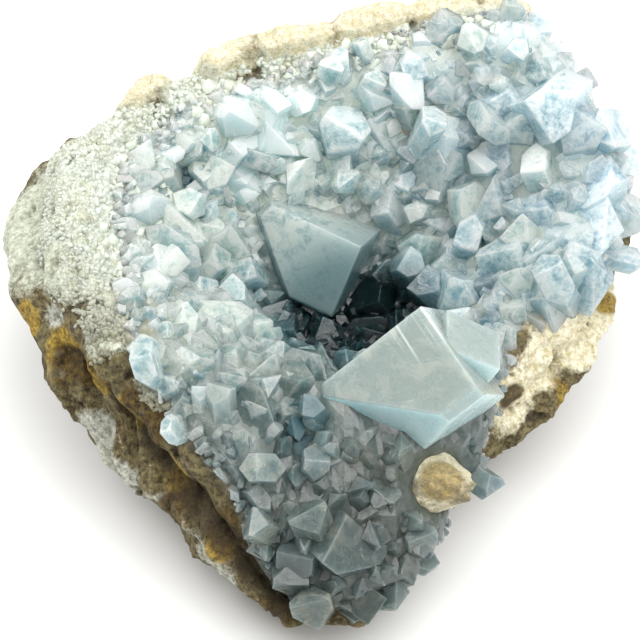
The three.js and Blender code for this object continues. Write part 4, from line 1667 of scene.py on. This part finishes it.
# %% [markdown]
# ### Light and dark places
#
# Some of a crystal's colour is painted light and shade, which depends on where it stands. In
# the small hollows, where one looks far into clear crystals, it gets a painted deeper blue shade.
# A face that looks down is painted with the bluer light that has crossed the crystal. Little light
# gets into the pit, so its crystals are painted teal and then nearly black. The chamfers get a
# faint painted highlight where edges catch the light, and healed cracks are white.

# %% Light and dark places
PIT_TEAL_SHADE = (25 * MM, 15 * MM)  # how far from the pit's floor the crystals' painted teal shade begins, and where it is full
print("the pit is darkest within", PIT_SHADE[1] / MM, "mm of its floor")


def pit_shade_share(tree, read):
    """The painted shade of the pit: 1 near its floor and 0 outside it. The broad crystals, which
    stand over the pit, have a quarter of that."""
    near = node(tree, "MapRange", [read["from_pit"], *PIT_SHADE])
    strewn = node(tree, "MapRange", [read["strewn"], 0, 1, 0.25, 1])
    return node(tree, "Math", [near, strewn], operation="MULTIPLY")


def painted_underside_share(tree, read):
    """How much painted light, bluer for having crossed the crystal, a face that looks down gets:
    half on a blue face, nothing on a grey one, three quarters on the milkiest crystals."""
    not_grey = node(tree, "MapRange", [read["grey"], 0, 1, 0.5, 0.0])
    share = node(tree, "Math", [read["under"], not_grey], operation="MULTIPLY")
    most = node(tree, "Math", [read["under"], 0.75], operation="MULTIPLY")
    return node(tree, "Mix", {0: read["milkiest"], 2: share, 3: most}, data_type="FLOAT")


def chamfer_highlight_and_crack_share(tree, read, dark):
    """White healed cracks and a faint painted highlight on the chamfers, less so on grey crystals
    and in the pit's painted shade.
    """
    # a faint painted highlight on the chamfers
    chamfers = node(tree, "Math", [read["edge"], 0.1], operation="MULTIPLY")
    share = node(tree, "Math", [chamfers, healed_cracks(tree, read)], operation="MAXIMUM")
    for part in (node(tree, "MapRange", [read["grey"], 0, 1, 1, 0.4]),
                 node(tree, "MapRange", [dark, 0, 1, 1, 0.2])):
        share = node(tree, "Math", [share, part], operation="MULTIPLY")
    return share


def celestite_colour(tree, read, pale, dark):
    """Blue or smoky crystal, then everything that changes its colour from place to place: its own
    stripes and iron stains, and painted light and shade in the hollows, on faces that look down,
    in the pit and on the chamfers.
    """
    # painted teal shade in the small hollows of the druse
    deep = node(tree, "Math", [read["deep"], 0.8], operation="MULTIPLY")
    # painted bluer light on faces that look down
    painted_light_from_below = layered(tree, "#86AEBD", (read["milkiest"], "#C6E4E8"))
    # painted teal shade towards the pit
    painted_pit_shade = node(tree, "MapRange", [read["from_pit"], *PIT_TEAL_SHADE, 0, 0.7])
    return layered(
        tree, blue_celestite(tree, read, pale),
        (read["grey"], smoky_celestite(tree, read)),
        (deep, "#5F8C97"),
        (white_stripes(tree, read), "#FAFFFD"),
        (painted_underside_share(tree, read), painted_light_from_below),
        (read["stain"], "#B98F66"),
        (painted_pit_shade, "#4F8790"),
        # painted near-black shade at the pit's floor
        (dark, "#0E2A2D"),
        # painted highlight on the chamfers, and white healed cracks
        (chamfer_highlight_and_crack_share(tree, read, dark), "#F0F7F4"))


# %% [markdown]
# ### Celestite
#
# Natural faces are glossy where they are fresh and dull where they are etched, and hardly any of
# them is quite flat. The clear grades let light through; in the milky ones it scatters, which
# makes them glow from the inside. Light that crosses a crystal is tinted by plain absorption.

# %% Gloss and waves
FACE_WAVES = 0.5 * MM  # what a height of 1 stands for
print("a height of 1 in a face's waves stands for", FACE_WAVES / MM, "mm")


def etched_roughness(tree, read, growth, dark, roughness):
    """Half to 1.6 times the grade's roughness, by clouds and growth lines, plus 0.15 on grey
    crystals and 0.15 in the pit."""
    etched = node(tree, "Math", [read["clouds"], growth], operation="ADD")
    rough = node(tree, "MapRange", [etched, 0.6, 1.4, roughness * 0.5, roughness * 1.6])
    for part in (read["grey"], dark):
        more = node(tree, "Math", [part, 0.15], operation="MULTIPLY")
        rough = node(tree, "Math", [rough, more], operation="ADD")
    return rough


def face_waves(tree, read, growth):
    """The height of a face's fine relief: growth lines, and mottle that the milkiest crystals
    hardly have."""
    lines = node(tree, "Math", [growth, 0.5], operation="MULTIPLY")
    weaker = node(tree, "MapRange", [read["milkiest"], 0, 1, 0.8, 0.2])
    mottle = node(tree, "Math", [read["mottle"], weaker], operation="MULTIPLY")
    return node(tree, "Math", [lines, mottle], operation="ADD")


# %% Four grades of celestite
def make_celestite(name, transmission, roughness, pale, reach):
    """One grade of celestite. pale says how much of it is milky, and reach how far light
    scatters in it, in mm."""
    material, tree = new_material(name)
    read = read_crystal(tree)
    # the painted shade of the pit
    dark = pit_shade_share(tree, read)
    growth = growth_lines(tree, read)
    normal = node(tree, "Bump", {"Height": face_waves(tree, read, growth), "Strength": 0.5,
                                 "Distance": FACE_WAVES}, "Normal")
    shader = node(tree, "BsdfPrincipled", {
        "Base Color": celestite_colour(tree, read, pale, dark),
        "Roughness": etched_roughness(tree, read, growth, dark, roughness),
        "IOR": 1.62, "Normal": normal, "Transmission Weight": transmission,
        "Subsurface Weight": 1.0, "Subsurface Radius": (1.0, 1.1, 1.15),
        "Subsurface Scale": reach * MM})
    inside = node(tree, "VolumeAbsorption", {"Color": linear("#BFE3EC"), "Density": 25.0})
    node(tree, "OutputMaterial", {"Surface": shader, "Volume": inside})
    return material


# transmission, roughness, share of milk and how far light scatters, mm
GRADES = {
    "celestite_clear": (0.6, 0.08, 0.3, 6),
    "celestite_cloudy": (0.4, 0.15, 0.58, 9),
    "celestite_milky": (0.2, 0.25, 0.7, 7),
    "celestite_milkiest": (0.1, 0.3, 0.7, 6),
}
grades = [make_celestite(name, *values) for name, values in GRADES.items()]
print("celestite takes", len(grades[0].node_tree.nodes), "nodes")

# %% [markdown]
# ### Sugar
#
# The finest grains are so small that light only passes from one to the next, which looks white,
# with a faint green from the rind below. A pale colour with a little scatter is enough for them.
# Dust has made them duller in clouds of 5 mm and towards the front.

# %% Sugar
DUST_CLOUDS = 5  # mm


def make_sugar():
    """Fine celestite grains: white, dusty, a little translucent."""
    material, tree = new_material("celestite_sugar")
    tone = node(tree, "Attribute", output="Fac", attribute_name="tone")
    grey = node(tree, "Attribute", output="Fac", attribute_name="grey")
    place = node(tree, "TexCoord", output="Object")
    dust = node(tree, "TexNoise", {"Vector": place, "Scale": 1 / (DUST_CLOUDS * MM),
                                   "Detail": 4, "Roughness": 0.6})
    dust = node(tree, "MapRange", [dust, 0.5, 0.7, 0, 0.6])
    shader = node(tree, "BsdfPrincipled", {
        "Base Color": layered(tree, "#DCE4D4", (tone, "#E9EFE0"), (grey, "#8D8B76"),
                              (dust, "#B9B898")),
        "Roughness": 0.4, "IOR": 1.62, "Transmission Weight": 0.1, "Subsurface Weight": 0.4,
        "Subsurface Radius": (1, 1, 1), "Subsurface Scale": 1.0 * MM})
    node(tree, "OutputMaterial", {"Surface": shader})
    return material


sugar = make_sugar()
print("sugar takes", len(sugar.node_tree.nodes), "nodes")

# %% [markdown]
# ## The pieces
#
# Each mesh becomes an object at the origin with its materials. A face of the crust takes the
# grade that its crystal's cloudiness falls into. The last grade is for the milkiest crystals, the
# great block and its twin among them.

# %% The pieces
GRADE_LIMITS = (0.33, 0.66, 0.98)  # the cloudiness at which the next grade begins

rind = show("limestone_rind", rind_mesh, limestone)
crust = show("celestite_crust", crust_mesh, *grades)
grains = show("sugar_grains", grains_mesh, sugar)
cloudiness = np.zeros(len(crust_mesh.polygons), np.float32)
crust_mesh.attributes["cloud"].data.foreach_get("value", cloudiness)
grade = np.digitize(cloudiness, GRADE_LIMITS)
crust_mesh.polygons.foreach_set("material_index", grade)
print("faces of each grade:", dict(zip(GRADES, np.bincount(grade).tolist())))

# %% [markdown]
# ## Floor and light
#
# The stone lies on a plain white floor, a painted board, which is matt and nearly white. A large
# soft lamp stands high at the front right, a smaller and weaker one at the back left, and a white
# sky fills the shadows. A small hard lamp would give each crystal a sharp shadow; a lamp of
# 1.2 m at 1 m lights them from all around.

# %% Floor and lamps
FLOOR_SIZE = 6.0  # metres
SKY_STRENGTH = 0.55


def make_floor():
    """A square at height 0, where the stone's flat spot lies."""
    half = FLOOR_SIZE / 2
    mesh = bpy.data.meshes.new("floor")
    mesh.from_pydata([(-half, -half, 0), (half, -half, 0), (half, half, 0), (-half, half, 0)], [],
                     [(0, 1, 2, 3)])
    material, tree = new_material("painted_board")
    shader = node(tree, "BsdfPrincipled", {"Base Color": linear("#F4F4F2"), "Roughness": 0.8})
    node(tree, "OutputMaterial", {"Surface": shader})
    return show("floor", mesh, material)


def make_lamp(name, place, size, power):
    """A square lamp that faces the stone. place and size are in metres, power in watts."""
    data = bpy.data.lights.new(name, "AREA")
    data.size, data.energy = size, power
    lamp = bpy.data.objects.new(name, data)
    lamp.location = place
    lamp.rotation_euler = (Vector(place) - TARGET).to_track_quat("Z", "Y").to_euler()
    bpy.context.scene.collection.objects.link(lamp)
    print(name, "is", round((Vector(place) - TARGET).length, 2), "m from the stone")


floor = make_floor()
make_lamp("key", (0.3, -0.15, 0.95), size=1.2, power=14.0)
make_lamp("fill", (-0.6, 0.3, 0.6), size=0.4, power=4.0)
sky = bpy.data.worlds.new("sky")
sky.use_nodes = True
sky.node_tree.nodes["Background"].inputs["Color"].default_value = (1, 1, 1, 1)
sky.node_tree.nodes["Background"].inputs["Strength"].default_value = SKY_STRENGTH
bpy.context.scene.world = sky
bpy.context.scene.view_settings.view_transform = "Standard"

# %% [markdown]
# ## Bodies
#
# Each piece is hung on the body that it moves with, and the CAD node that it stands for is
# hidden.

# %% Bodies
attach(rind, "root")
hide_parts("stone_rind")
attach(crust, "root")
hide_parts("crystal_crust")
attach(grains, "root")

bpy.context.view_layer.update()
